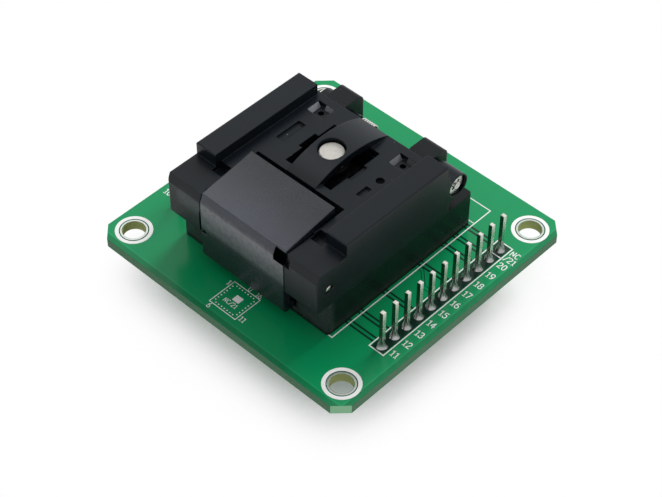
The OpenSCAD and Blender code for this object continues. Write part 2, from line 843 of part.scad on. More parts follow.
// plate that holds the pad in the lid
module pad_retainer() {
    o = pad_w / 2 - 0.8;
    d = pad_d / 2 - 0.8;
    color([0.55, 0.56, 0.58]) in_socket() difference() {
        span(-retainer_w / 2, retainer_w / 2, retainer_front, retainer_back, lid_bottom, retainer_z);
        span(-o, o, chip_y - d, chip_y + d, lid_bottom - 1, retainer_z + 1);
        for (x = [-screw_x, screw_x], y = [screw_front, screw_back])
            translate([x, y, lid_bottom - 1]) {
                cylinder(d = screw_d, h = plate2_t + 2, $fn = 24);
                cylinder(d = screw_head + 0.1, h = 1 + plate2_t * 0.6, $fn = 24);
            }
        for (s = [-1, 1])
            rod(tower_cut_r, s * (tower_in + tower_w / 2) - tower_w / 2 - move_gap,
                s * (tower_in + tower_w / 2) + tower_w / 2 + move_gap, hinge_y, hinge_z);
    }
}

// four cross-slotted screws, driven up into the lid
module retainer_screws() {
    color([0.7, 0.7, 0.72]) in_socket()
        for (x = [-screw_x, screw_x], y = [screw_front, screw_back])
            translate([x, y, lid_bottom]) difference() {
                union() {
                    cylinder(d = screw_head, h = plate2_t * 0.6, $fn = 24);
                    cylinder(d = screw_d, h = screw_len, $fn = 24);
                }
                span(-0.7, 0.7, -0.12, 0.12, -1, 0.25);
                span(-0.12, 0.12, -0.7, 0.7, -1, 0.25);
            }
}

// side outline of the latch: thumb plate, web, front wall and hook
module latch_side() {
    f = lid_front + 0.05;
    rake = (plate_back_z - plate_front_z) / (plate_back - f - bevel_in);
    web_y = latch_y + 3;
    polygon([[f, wall_foot + 0.5], [f, bevel_z], [f + bevel_in, plate_front_z],
        [plate_back, plate_back_z], [plate_back, plate_back_z - plate_t],
        [web_y, plate_front_z - plate_t + rake * (web_y - f - bevel_in)],
        [latch_y + 1.4, latch_z + 0.9], [latch_y + 0.4, latch_z - 1.5], [wall_in, latch_z - 2.6],
        [wall_in, hook_top], [hook_tip, hook_top], [hook_tip, wall_foot + 0.35],
        [hook_tip - 0.3, wall_foot], [f + 0.5, wall_foot]]);
}

module latch_lever() {
    color([0.08, 0.08, 0.09]) in_socket() difference() {
        union() {
            across(-latch_w / 2, latch_w / 2) latch_side();
            rod(latch_pin_d / 2 + 0.95, -latch_w / 2, latch_w / 2, latch_y, latch_z);
        }
        rod(latch_pin_d / 2 + run_clear, -latch_w, latch_w, latch_y, latch_z);
        for (s = [-1, 1])
            translate([s * latch_spring_x, latch_spring_y, plate_back_z - plate_t - 3])
                cylinder(r = latch_coil_in + latch_wire + seat_room, h = 3);
        span(latch_w / 2 - corner_cut, latch_w, lid_front - 1, notch_back, notch_foot, plate_back_z);
        span(-latch_w, -latch_w / 2 + nick_w, lid_front - 1, wall_in + 0.2, lid_bottom - shut_gap,
            lid_bottom - shut_gap + nick_h);
    }
}

// pivot pin of the latch
module latch_pin() {
    color([0.8, 0.8, 0.78]) in_socket()
        rod(latch_pin_d / 2, -half_lid + 0.15, half_lid - 0.15, latch_y, latch_z);
}

// compression spring between the lid shelf and the thumb plate
module latch_spring(side) {
    n = 9;
    wire = latch_wire;
    h = plate_back_z - plate_t - 0.05 - shelf_z;
    color([0.72, 0.73, 0.75]) in_socket()
        translate([side * latch_spring_x, latch_spring_y, shelf_z + wire / 2]) rotate_extrude($fn = 24)
            coil_wall(latch_coil_in, wire, (h - wire) / (n - 1), n);
}

module latch_spring_left() {
    latch_spring(-1);
}

module latch_spring_right() {
    latch_spring(1);
}

circuit_board();
header_pins_left();
header_pins_right();
header_strip_left();
header_strip_right();
header_solder_left();
header_solder_right();
socket_base();
chip_nest();
contacts_front();
contacts_back();
contacts_left();
contacts_right();
ground_contact();
tail_solder();
hinge_shaft();
hinge_clip_left();
hinge_clip_right();
hinge_spring();
lid_frame();
pressure_pad();
pad_slug();
pad_springs();
pad_retainer();
retainer_screws();
latch_lever();
latch_pin();
latch_spring_left();
latch_spring_right();
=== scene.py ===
"""Dressed scene of a chip programming adapter: a hinged test socket on a green board with two pin rows."""

import logging
from dataclasses import dataclass, field
from enum import Enum
from typing import Any, Iterable, Sequence

import bpy
import numpy as np
from mathutils import Matrix


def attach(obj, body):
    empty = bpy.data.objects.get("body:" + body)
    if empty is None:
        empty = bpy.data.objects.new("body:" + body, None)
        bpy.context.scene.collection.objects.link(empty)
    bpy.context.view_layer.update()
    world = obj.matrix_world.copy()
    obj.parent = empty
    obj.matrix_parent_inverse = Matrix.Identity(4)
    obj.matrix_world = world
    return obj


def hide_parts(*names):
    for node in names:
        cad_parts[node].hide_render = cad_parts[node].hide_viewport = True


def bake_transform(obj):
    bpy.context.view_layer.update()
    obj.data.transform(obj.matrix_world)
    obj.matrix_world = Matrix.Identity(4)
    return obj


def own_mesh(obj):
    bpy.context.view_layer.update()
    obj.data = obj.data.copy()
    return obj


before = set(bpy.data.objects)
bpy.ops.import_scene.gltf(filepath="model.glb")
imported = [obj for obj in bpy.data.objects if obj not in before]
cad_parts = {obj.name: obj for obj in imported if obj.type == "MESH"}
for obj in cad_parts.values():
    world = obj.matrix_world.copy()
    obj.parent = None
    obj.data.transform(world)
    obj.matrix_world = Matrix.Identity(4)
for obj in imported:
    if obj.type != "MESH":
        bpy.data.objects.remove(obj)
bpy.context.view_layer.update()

LOG = logging.getLogger("adapter")
MM = 0.001
Array = np.ndarray
Colour = tuple[float, float, float]
Point = tuple[float, float, float]
Span = tuple[float, float]
Box = tuple[float, float, float, float]
# Angle in degrees below which edges of round wire are shaded smooth.
WIRE_SMOOTH = 60.0


class Body(Enum):
    """Bodies that carry the pieces made here."""

    BOARD = "board"
    LID = "lid"


class Grain(Enum):
    """Direction of the fine lines on a metal surface."""

    EVEN = (1.0, 1.0, 1.0)
    UPRIGHT = (1.0, 1.0, 0.06)
    ACROSS = (0.06, 1.0, 1.0)


# Shader graphs


class Sock:
    """A shader value that takes part in Python expressions; each operator adds one Math node."""

    def __init__(self, graph: "Graph", socket: Any) -> None:
        """Keeps the graph and the output socket."""
        self.graph = graph
        self.socket = socket

    def _math(self, operation: str, *values: Any) -> "Sock":
        """Adds one Math node.

        Args:
            operation: Blender's name of the operation.
            values: its operands in order, numbers or sockets.

        Returns:
            The node's output.
        """
        return self.graph.node("ShaderNodeMath", {"operation": operation}, dict(enumerate(values)))

    def __add__(self, other: Any) -> "Sock":
        """Sum."""
        return self._math("ADD", self, other)

    def __radd__(self, other: Any) -> "Sock":
        """Sum with a number on the left."""
        return self._math("ADD", other, self)

    def __sub__(self, other: Any) -> "Sock":
        """Difference."""
        return self._math("SUBTRACT", self, other)

    def __rsub__(self, other: Any) -> "Sock":
        """Difference from a number on the left."""
        return self._math("SUBTRACT", other, self)

    def __mul__(self, other: Any) -> "Sock":
        """Product."""
        return self._math("MULTIPLY", self, other)

    def __rmul__(self, other: Any) -> "Sock":
        """Product with a number on the left."""
        return self._math("MULTIPLY", other, self)

    def __abs__(self) -> "Sock":
        """Absolute value."""
        return self._math("ABSOLUTE", self)

    def lowest(self, other: Any) -> "Sock":
        """Smaller of two values."""
        return self._math("MINIMUM", self, other)

    def highest(self, other: Any) -> "Sock":
        """Larger of two values."""
        return self._math("MAXIMUM", self, other)

    def step(self, low: float, high: float) -> "Sock":
        """Smooth step from 0 at low to 1 at high.

        Args:
            low: value at which the step starts.
            high: value at which it is complete.

        Returns:
            The stepped value.
        """
        if low > high:
            return 1 - self.step(high, low)
        return self.graph.node(
            "ShaderNodeMapRange",
            {"interpolation_type": "SMOOTHSTEP"},
            {"Value": self, "From Min": low, "From Max": high},
        )


class Graph:
    """Node tree of a material or world, built from calls that name a node's type, settings and sockets."""

    def __init__(self, owner: Any) -> None:
        """Empties the owner's node tree."""
        owner.use_nodes = True
        self.owner = owner
        self.tree = owner.node_tree
        self.tree.nodes.clear()

    @staticmethod
    def material(name: str) -> "Graph":
        """Graph of a new material."""
        return Graph(bpy.data.materials.new(name))

    def node(
        self,
        kind: str,
        settings: dict | None = None,
        inputs: dict | None = None,
        out: int | str = 0,
    ) -> Sock:
        """Adds one node.

        Args:
            kind: Blender's type of the node.
            settings: its properties, set first.
            inputs: values or sockets by input name, identifier or index.
            out: name or index of the output that is wanted.

        Returns:
            The wanted output.
        """
        made = self.tree.nodes.new(kind)
        for key, value in (settings or {}).items():
            setattr(made, key, value)
        for key, value in (inputs or {}).items():
            self.feed(self.entry(made, key), value)
        return Sock(self, made.outputs[out])

    @staticmethod
    def entry(made: Any, key: int | str) -> Any:
        """Finds a node's input.

        Args:
            made: the node.
            key: index, identifier or name.

        Returns:
            The input socket.
        """
        if isinstance(key, int):
            return made.inputs[key]
        for socket in made.inputs:
            if socket.identifier == key:
                return socket
        return made.inputs[key]

    def feed(self, socket: Any, value: Any) -> None:
        """Links a value or sets a constant on a socket.

        Args:
            socket: the input.
            value: a Sock, a number or a tuple.
        """
        if isinstance(value, Sock):
            self.tree.links.new(value.socket, socket)
        elif isinstance(value, tuple) and len(value) == 3 and len(socket.default_value) == 4:
            socket.default_value = (*value, 1.0)
        else:
            socket.default_value = value

    def place(self) -> Sock:
        """Object coordinates in millimetres."""
        point = self.node("ShaderNodeTexCoord", out="Object")
        return self.node("ShaderNodeVectorMath", {"operation": "SCALE"}, {0: point, "Scale": 1000.0})

    def stretch(self, point: Sock, scale: Point) -> Sock:
        """Point times a scale for each axis."""
        return self.node("ShaderNodeVectorMath", {"operation": "MULTIPLY"}, {0: point, 1: scale})

    def axis(self, point: Sock, name: str) -> Sock:
        """One coordinate of a point, by its letter."""
        return self.node("ShaderNodeSeparateXYZ", None, {0: point}, name)

    def noise(self, point: Sock, scale: float, detail: float = 3.0) -> Sock:
        """Noise value with features of about 1 / scale millimetres."""
        return self.node("ShaderNodeTexNoise", None, {"Vector": point, "Scale": scale, "Detail": detail})

    def blend(self, share: Any, first: Any, second: Any) -> Sock:
        """Mixes two colours.

        Args:
            share: 0 gives the first, 1 the second.
            first: colour or socket.
            second: colour or socket.

        Returns:
            The mixed colour.
        """
        sockets = {"Factor_Float": share, "A_Color": first, "B_Color": second}
        return self.node("ShaderNodeMix", {"data_type": "RGBA"}, sockets, 2)

    def bump(self, height: Sock, depth_mm: float, strength: float, normal: Sock | None = None) -> Sock:
        """Normal bent by a height value.

        Args:
            height: the height, 0 to 1.
            depth_mm: depth that a height of 1 stands for.
            strength: share of the effect.
            normal: normal to start from.

        Returns:
            The bent normal.
        """
        sockets = {"Height": height, "Distance": depth_mm * MM, "Strength": strength}
        if normal is not None:
            sockets["Normal"] = normal
        return self.node("ShaderNodeBump", None, sockets)

    def soft_edges(self, radius_mm: float) -> tuple[Sock, Sock]:
        """Rounds the shading of sharp edges.

        Args:
            radius_mm: radius of the rounding.

        Returns:
            The rounded normal, and a mask that is 1 along the edges.
        """
        rounded = self.node("ShaderNodeBevel", {"samples": 6}, {"Radius": radius_mm * MM})
        plain = self.node("ShaderNodeNewGeometry", out="True Normal")
        dot = {"operation": "DOT_PRODUCT"}
        along = self.node("ShaderNodeVectorMath", dot, {0: rounded, 1: plain}, "Value")
        return rounded, (1 - along).step(0.02, 0.25)

    def surface(self, **inputs: Any) -> Sock:
        """Adds the surface shader.

        Args:
            inputs: Principled sockets, with _ for a space in their names.

        Returns:
            The shader.
        """
        named = {key.replace("_", " "): value for key, value in inputs.items()}
        if "IOR Level" in named:
            named["Specular IOR Level"] = named.pop("IOR Level")
        return self.node("ShaderNodeBsdfPrincipled", None, named)

    def finish(self, **inputs: Any) -> Any:
        """Surface shader with these sockets as the whole material, which is returned."""
        return self.output(self.surface(**inputs))

    def output(self, shader: Sock) -> Any:
        """Links a shader to the output and returns the owner."""
        kind = "World" if isinstance(self.owner, bpy.types.World) else "Material"
        made = self.tree.nodes.new(f"ShaderNodeOutput{kind}")
        self.feed(made.inputs["Surface"], shader)
        return self.owner


def times(values: Colour | Point, factor: float) -> Colour | Point:
    """Each of three values times a factor."""
    return tuple(factor * value for value in values)


# Finishes


@dataclass(frozen=True)
class MouldedPlastic:
    """Dark moulded plastic with a spark-textured skin, soft edges and a few specks of dust.

    The box from shade_low to shade_high is painted shade, a near-black mix for the dark inside of a hollow.
    A second box is painted paler with patchy noise, a painted reflection on front faces. A blue-grey
    painted sheen, standing in for the latch plate's reflection, lies over a span along Y above given
    heights.
    """

    name: str
    tint: Colour
    rough: float = 0.42
    gloss: float = 0.3
    edge: float = 0.2
    dust: float = 1.0
    # shade_low and shade_high bound a box of painted shade.
    shade_low: Point = (0.0, 0.0, 0.0)
    shade_high: Point = (0.0, 0.0, 0.0)
    # The next box is painted paler, a painted reflection on front faces.
    sheen_low: Point = (0.0, 0.0, 0.0)
    sheen_high: Point = (0.0, 0.0, 0.0)
    sheen_tone: float = 0.012
    # A blue-grey painted sheen over a span along Y above given heights.
    plate_sheen_y: Span = (0.0, 0.0)
    plate_sheen_z: Span = (20.4, 21.2)
    plate_sheen_tint: Colour = (0.040, 0.050, 0.074)
    dust_tint: Colour = (0.35, 0.36, 0.36)
    # Near-black colour of the painted shade.
    painted_shade_tint: Colour = (0.001, 0.0012, 0.0014)
    grain_scale: float = 6.0
    flow_scale: float = 0.2
    speck_scale: float = 0.8
    sheen_patch_scale: float = 1.3
    grain_depth: float = 0.016
    sheen_fade: float = 0.8
    shade_fade: float = 0.05

    def material(self) -> Any:
        """Builds the node material."""
        g = Graph.material(self.name)
        point = g.place()
        rounded, rim = g.soft_edges(self.edge)
        fine = g.noise(point, self.grain_scale, 4.0)
        flow = g.noise(point, self.flow_scale, 2.0)
        dust = self.specks(g, point)
        pale = tuple(1.6 * c + 0.008 for c in self.tint)
        colour = g.blend(flow.step(0.35, 0.7), times(self.tint, 0.8), self.tint)
        # Painted highlight: paler colour along the sharp edges.
        colour = g.blend(rim * (0.1 + 0.3 * fine), colour, pale)
        colour = g.blend(dust, colour, self.dust_tint)
        rough = self.rough + 0.24 * (fine - 0.5) + 0.14 * (flow - 0.5) + 0.25 * dust
        # Painted reflection: a box painted paler with patchy noise stands in for light that the front faces
        # reflect.
        if self.sheen_high > self.sheen_low:
            sheen_patches = g.noise(point, self.sheen_patch_scale, 4.0).step(0.3, 0.62)
            painted_sheen = self.inside(g, point, self.sheen_low, self.sheen_high, self.sheen_fade)
            painted_sheen = painted_sheen * (0.62 + 0.5 * sheen_patches)
            colour = g.blend(painted_sheen, colour, tuple(2.2 * c + self.sheen_tone for c in self.tint))
            rough = rough - painted_sheen * 0.08
        # Painted sheen: a blue-grey tint over the latch plate stands in for its reflection of the surround.
        if self.plate_sheen_y[1] > self.plate_sheen_y[0]:
            plate_sheen = g.axis(point, "Y").step(self.plate_sheen_y[1], self.plate_sheen_y[0])
            plate_sheen = plate_sheen * g.axis(point, "Z").step(*self.plate_sheen_z)
            colour = g.blend(plate_sheen * (0.75 + 0.9 * (flow - 0.5)), colour, self.plate_sheen_tint)
        normal = g.bump(fine, self.grain_depth, 0.4, rounded)
        skin = g.surface(Base_Color=colour, Roughness=rough, IOR_Level=self.gloss, Normal=normal)
        if self.shade_high <= self.shade_low:
            return g.output(skin)
        # Painted shade: inside the shade box the surface turns to a near-black diffuse, for the dark inside
        # of a hollow.
        painted_shade_mask = self.inside(g, point, self.shade_low, self.shade_high, self.shade_fade)
        black = g.node("ShaderNodeBsdfDiffuse", None, {"Color": self.painted_shade_tint})
        return g.output(g.node("ShaderNodeMixShader", None, {0: painted_shade_mask, 1: skin, 2: black}))

    def specks(self, g: Graph, point: Sock) -> Sock:
        """Mask of dust: small discs round the middles of some cells, picked by the cell's own colour."""
        cell = {"Vector": point, "Scale": self.speck_scale}
        near = g.node("ShaderNodeTexVoronoi", None, cell, "Distance")
        pick = g.axis(g.node("ShaderNodeTexVoronoi", None, cell, "Color"), "X")
        return near.step(0.07, 0.03) * pick.step(0.72, 0.9) * self.dust

    @staticmethod
    def inside(g: Graph, point: Sock, low: Point, high: Point, soft: float) -> Sock:
        """Mask of a box.

        Args:
            g: the graph.
            point: object coordinates in millimetres.
            low: least corner of the box.
            high: greatest corner.
            soft: half the width over which the mask fades.

        Returns:
            1 inside the box, 0 a little outside.
        """
        mask = None
        for letter, start, end in zip("XYZ", low, high):
            axis = g.axis(point, letter)
            band = axis.step(start - soft, start + soft) * axis.step(end + soft, end - soft)
            mask = band if mask is None else mask * band
        return mask


@dataclass(frozen=True)
class SolderMask:
    """Green lacquer over copper or bare laminate, with a pale laminate edge where the board is cut."""

    name: str
    over_copper: Colour = (0.0036, 0.315, 0.112)
    over_bare: Colour = (0.003, 0.034, 0.020)
    pour_line: Colour = (0.03, 0.42, 0.17)
    laminate: Colour = (0.085, 0.205, 0.115)
    glass: Colour = (0.14, 0.20, 0.12)
    cut_skin: Colour = (0.02, 0.18, 0.075)
    cut_corner: Colour = (0.33, 0.66, 0.40)
    bore: Colour = (0.42, 0.47, 0.19)
    gloss: float = 0.3
    bare: float = 0.0
    half_w: float = 24.5
    half_d: float = 24.0
    hole_x: float = 20.9
    hole_y: float = 20.1
    top: float = 8.1
    thick: float = 1.6
    pour_inset: float = 0.85
    weave_rate: float = 12.6

    def material(self) -> Any:
        """Builds the node material: lacquer on level faces, laminate layers on upright ones."""
        g = Graph.material(self.name)
        point = g.place()
        x, y, z = (g.axis(point, letter) for letter in "XYZ")
        up = g.axis(g.node("ShaderNodeNewGeometry", out="Normal"), "Z")
        level = abs(up).step(0.45, 0.6)
        weave = self.weave(g, x, y)
        cloud = g.noise(point, 0.12, 3.0)
        if self.bare:
            skin = g.blend(weave * 0.4, self.over_bare, times(self.over_bare, 1.5))
        else:
            skin = self.poured(g, x, y, cloud, weave)
        colour = g.blend(level, self.cut_edge(g, point, x, y, z), skin)
        orange = g.noise(point, 1.2, 2.0)
        fine = g.noise(point, 7.0, 2.0)
        rough = 0.74 - level * (0.6 - 0.08 * cloud - 0.06 * fine)
        normal = g.bump(orange * 0.7 + fine * 0.3 + weave * 0.06, 0.016, 0.25)
        return g.finish(Base_Color=colour, Roughness=rough, IOR_Level=self.gloss, Normal=normal)

    def poured(self, g: Graph, x: Sock, y: Sock, cloud: Sock, weave: Sock) -> Sock:
        """Colour over the copper, with a pale line where it ends short of the front and right edges.

        Args:
            g: the graph.
            x: place across in millimetres.
            y: place along in millimetres.
            cloud: slow noise.
            weave: glass cloth value.

        Returns:
            The lacquer's colour.
        """
        inset = (self.half_w - x).lowest(self.half_d + y)
        pour = inset.step(self.pour_inset - 0.06, self.pour_inset + 0.02)
        line = pour * inset.step(self.pour_inset + 0.3, self.pour_inset + 0.08)
        skin = g.blend(0.35 + 0.5 * cloud, times(self.over_copper, 0.88), self.over_copper)
        rim = g.blend(weave * 0.2, times(self.over_copper, 0.74), self.over_bare)
        skin = g.blend(pour, rim, skin)
        return g.blend(line * 0.35, skin, self.pour_line)

    def weave(self, g: Graph, x: Sock, y: Sock) -> Sock:
        """Glass cloth under the lacquer: product of two sine waves at a 0.5 mm pitch."""
        turn = {"operation": "SINE"}
        wave = [g.node("ShaderNodeMath", turn, {0: axis * self.weave_rate}) for axis in (x, y)]
        return wave[0] * wave[1] * 0.5 + 0.5

    def cut_edge(self, g: Graph, point: Sock, x: Sock, y: Sock, z: Sock) -> Sock:
        """Colour of the sawn edge and of the drilled corner holes.

        Args:
            g: the graph.
            point: object coordinates in millimetres.
            x: place across.
            y: place along.
            z: height.

        Returns:
            Pale laminate with stacked glass layers, green at the upper and lower skins, olive in the holes.
        """
        fibre = g.noise(g.stretch(point, (0.9, 0.9, 14.0)), 1.0, 4.0)
        bundle = g.noise(g.stretch(point, (1.6, 1.6, 3.0)), 1.0, 2.0)
        shade = g.blend(fibre, times(self.laminate, 0.6), times(self.laminate, 1.25))
        shade = g.blend(bundle.step(0.5, 0.75) * 0.4, shade, self.glass)
        depth = (self.top - z).lowest(z - (self.top - self.thick))
        shade = g.blend(depth.step(0.2, 0.06), shade, self.cut_skin)
        facing = g.node("ShaderNodeNewGeometry", out="Normal")
        corner = abs(g.axis(facing, "X") * g.axis(facing, "Y")).step(0.2, 0.4)
        shade = g.blend(corner * 0.85, shade, self.cut_corner)
        across, along = abs(x) - self.hole_x, abs(y) - self.hole_y
        drilled = (across * across + along * along).step(4.6, 4.0)
        return g.blend(drilled, shade, g.blend(fibre, times(self.bore, 0.7), self.bore))


@dataclass(frozen=True)
class PrintInk:
    """White screen-printed ink with a slightly uneven cover."""

    name: str
    tint: Colour = (0.98, 0.985, 0.98)
    thin_tint: Colour = (0.35, 0.6, 0.45)

    def material(self) -> Any:
        """Builds the node material."""
        g = Graph.material(self.name)
        point = g.place()
        cover = g.noise(point, 3.0, 4.0)
        mesh = g.noise(point, 14.0, 2.0)
        thin = cover.step(0.36, 0.2) * 0.45 + mesh.step(0.3, 0.2) * 0.2
        colour = g.blend(thin, self.tint, self.thin_tint)
        normal = g.bump(cover * 0.6 + mesh * 0.4, 0.008, 0.3)
        return g.finish(Base_Color=colour, Roughness=0.5 + 0.2 * cover, IOR_Level=0.4, Normal=normal)


@dataclass(frozen=True)
class Metal:
    """Bare or plated metal with fine lines, tarnish, soft edges and painted shade on the Y faces of cut
    pins.
    """

    name: str
    tint: Colour
    rough: float = 0.26
    grain: Grain = Grain.EVEN
    tarnish: float = 0.25
    metallic: float = 1.0
    edge: float = 0.05
    wave: float = 0.12
    streak: float = 0.5
    side_shade: float = 0.0
    line_scale: float = 9.0
    cloud_scale: float = 0.9
    line_depth: float = 0.006

    def material(self) -> Any:
        """Builds the node material."""
        g = Graph.material(self.name)
        point = g.place()
        rounded, rim = g.soft_edges(self.edge)
        lines = g.noise(g.stretch(point, self.grain.value), self.line_scale, 3.0)
        stain = g.noise(point, self.cloud_scale, 3.0).step(0.5, 0.78) * self.tarnish
        colour = g.blend(stain, self.tint, times(self.tint, 0.5))
        colour = g.blend((lines - 0.5).highest(0.0) * self.streak, colour, times(self.tint, 0.75))
        # Painted highlight: the metal is brighter along the sharp edges.
        colour = g.blend(rim * 0.35, colour, tuple(min(1.0, 1.15 * c) for c in self.tint))
        # Painted shade: faces that point along Y are darkened to a dull grey.
        if self.side_shade:
            facing = abs(g.axis(g.node("ShaderNodeNewGeometry", out="Normal"), "Y"))
            colour = g.blend(facing.step(0.6, 0.9) * self.side_shade, colour, times(self.tint, 0.12))
        rough = self.rough + 0.22 * stain + 0.1 * (lines - 0.5)
        normal = g.bump(lines, self.line_depth, self.wave, rounded)
        return g.finish(Base_Color=colour, Roughness=rough, Metallic=self.metallic, Normal=normal)


@dataclass(frozen=True)
class PocketWallHighlight:
    """Painted highlight on the sloped pocket walls: pale, fading from the left pocket to the right one,
    with painted shade at the far right.
    """

    name: str
    left: Colour = (0.26, 0.27, 0.31)
    right: Colour = (0.2, 0.207, 0.23)
    shade: Colour = (0.02, 0.022, 0.025)
    fade_x: Span = (-9.6, -7.8)
    shade_x: Span = (6.5, 7.0)

    def material(self) -> Any:
        """Builds the node material."""
        g = Graph.material(self.name)
        point = g.place()
        across = g.axis(point, "X")
        fine = g.noise(point, 5.0, 3.0)
        colour = g.blend(across.step(*self.fade_x), self.left, self.right)
        # Painted shade at the far right.
        colour = g.blend(across.step(*self.shade_x) * 0.75, colour, self.shade)
        colour = g.blend(fine.step(0.5, 0.75) * 0.45, colour, times(self.right, 0.5))
        normal = g.bump(fine, 0.01, 0.2)
        return g.finish(Base_Color=colour, Roughness=0.4 + 0.2 * fine, IOR_Level=0.4, Normal=normal)


@dataclass(frozen=True)
class Sintered:
    """Pale sintered metal with fine grey grains."""

    name: str
    tint: Colour = (0.63, 0.612, 0.566)

    def material(self) -> Any:
        """Builds the node material."""
        g = Graph.material(self.name)
        point = g.place()
        grain = g.noise(point, 5.0, 4.0)
        cloud = g.noise(point, 0.8, 2.0)
        colour = g.blend(grain.step(0.48, 0.72) * 0.6, self.tint, times(self.tint, 0.62))
        colour = g.blend(cloud * 0.25, colour, times(self.tint, 1.15))
        normal = g.bump(grain, 0.02, 0.35)
        return g.finish(Base_Color=colour, Roughness=0.5 + 0.2 * grain, Metallic=0.25, Normal=normal)


class Finishes:
    """The part's finishes, each built once."""

    def __init__(self) -> None:
        """Builds every material."""
        self.plastics()
        self.mask = SolderMask("board_mask").material()
        self.mask_bare = SolderMask("board_mask_bare", bare=1.0).material()
        track = SolderMask("board_mask_track", over_copper=(0.006, 0.34, 0.12), pour_inset=0.0)
        self.track = track.material()
        self.ink = PrintInk("print_white").material()
        self.slug = Sintered("slug_satin").material()
        self.pocket_highlight = PocketWallHighlight("pocket_highlight_paint").material()
        self.metals()

    def plastics(self) -> None:
        """Builds the moulded plastics, with painted shade and painted reflections on the lid, base and
        latch.
        """
        # hook and notch: boxes of painted shade over the dark recesses at the latch's hook and the lid's
        # notch.
        hook = {"shade_low": (5.55, -17.7, 19.5), "shade_high": (7.5, -16.8, 21.5)}
        notch = {"shade_low": (7.4, -17.8, 19.6), "shade_high": (8.6, -16.9, 22.5)}
        # band, front and brow: boxes painted paler, a painted reflection on the front faces of the lid,
        # base and latch.
        band = {"sheen_low": (-13.4, -18.6, 17.6), "sheen_high": (-8.5, -16.8, 20.2), "sheen_tone": 0.024}
        front = {"sheen_low": (-15.9, -16.2, 8.6), "sheen_high": (14.6, -14.4, 15.0), "sheen_tone": 0.03}
        brow = {"sheen_low": (-9.2, -18.6, 15.8), "sheen_high": (7.8, -16.8, 20.6), "sheen_tone": 0.08}
        # A blue-grey painted sheen over the latch plate.
        plate_sheen = {"plate_sheen_y": (-18.0, -8.5)}
        lid = MouldedPlastic("lid_plastic", (0.0042, 0.0076, 0.0115), 0.36, 0.24, **notch, **band)
        base = MouldedPlastic("base_plastic", (0.0036, 0.0062, 0.0074), 0.32, 0.2, dust=0.4, **front)
        latch_tint = (0.011, 0.014, 0.021)
        latch = MouldedPlastic("latch_plastic", latch_tint, 0.25, 0.47, 0.25, **hook, **brow, **plate_sheen)
        nest = MouldedPlastic("nest_plastic", (0.016, 0.015, 0.014), rough=0.38, dust=0.3)
        strip = MouldedPlastic("strip_plastic", (0.009, 0.009, 0.009), rough=0.5, dust=0.3, edge=0.06)
        pad = MouldedPlastic("pad_plastic", (0.004, 0.0042, 0.005), rough=0.45, gloss=0.12, dust=0.2)
        self.lid = lid.material()
        self.base = base.material()
        self.latch = latch.material()
        self.nest = nest.material()
        self.strip = strip.material()
        self.pad = pad.material()

    def metals(self) -> None:
        """Builds the metals."""
        # The last entry darkens the pins' faces along Y: painted shade.
        cut = {"grain": Grain.UPRIGHT, "edge": 0.03, "wave": 0.0, "streak": 0.1, "side_shade": 0.92}
        pin = Metal("pin_tin", (0.78, 0.78, 0.71), rough=0.24, tarnish=0.1, **cut)
        solder = Metal("solder_alloy", (0.37, 0.375, 0.37), rough=0.16, tarnish=0.5, wave=0.03)
        self.pin = pin.material()
        self.solder = solder.material()
        self.ring = Metal("ring_tin", (0.70, 0.71, 0.70), rough=0.3, tarnish=0.2).material()
        self.gold = Metal("gold_flash", (0.86, 0.62, 0.27), rough=0.24, tarnish=0.15).material()
        self.shaft = Metal("ground_steel", (0.62, 0.62, 0.61), rough=0.2, grain=Grain.ACROSS).material()
        self.clip = Metal("clip_steel", (0.88, 0.87, 0.84), rough=0.27, tarnish=0.15).material()
        self.spring = Metal("wire_steel", (0.66, 0.65, 0.63), rough=0.12, tarnish=0.3).material()
        self.wire = Metal("wire_black", (0.03, 0.03, 0.032), rough=0.3, tarnish=0.3).material()
        self.plate = Metal("plate_steel", (0.62, 0.63, 0.64), rough=0.32, grain=Grain.ACROSS).material()
        self.screw = Metal("screw_steel", (0.72, 0.71, 0.69), rough=0.25).material()


# Surfaces


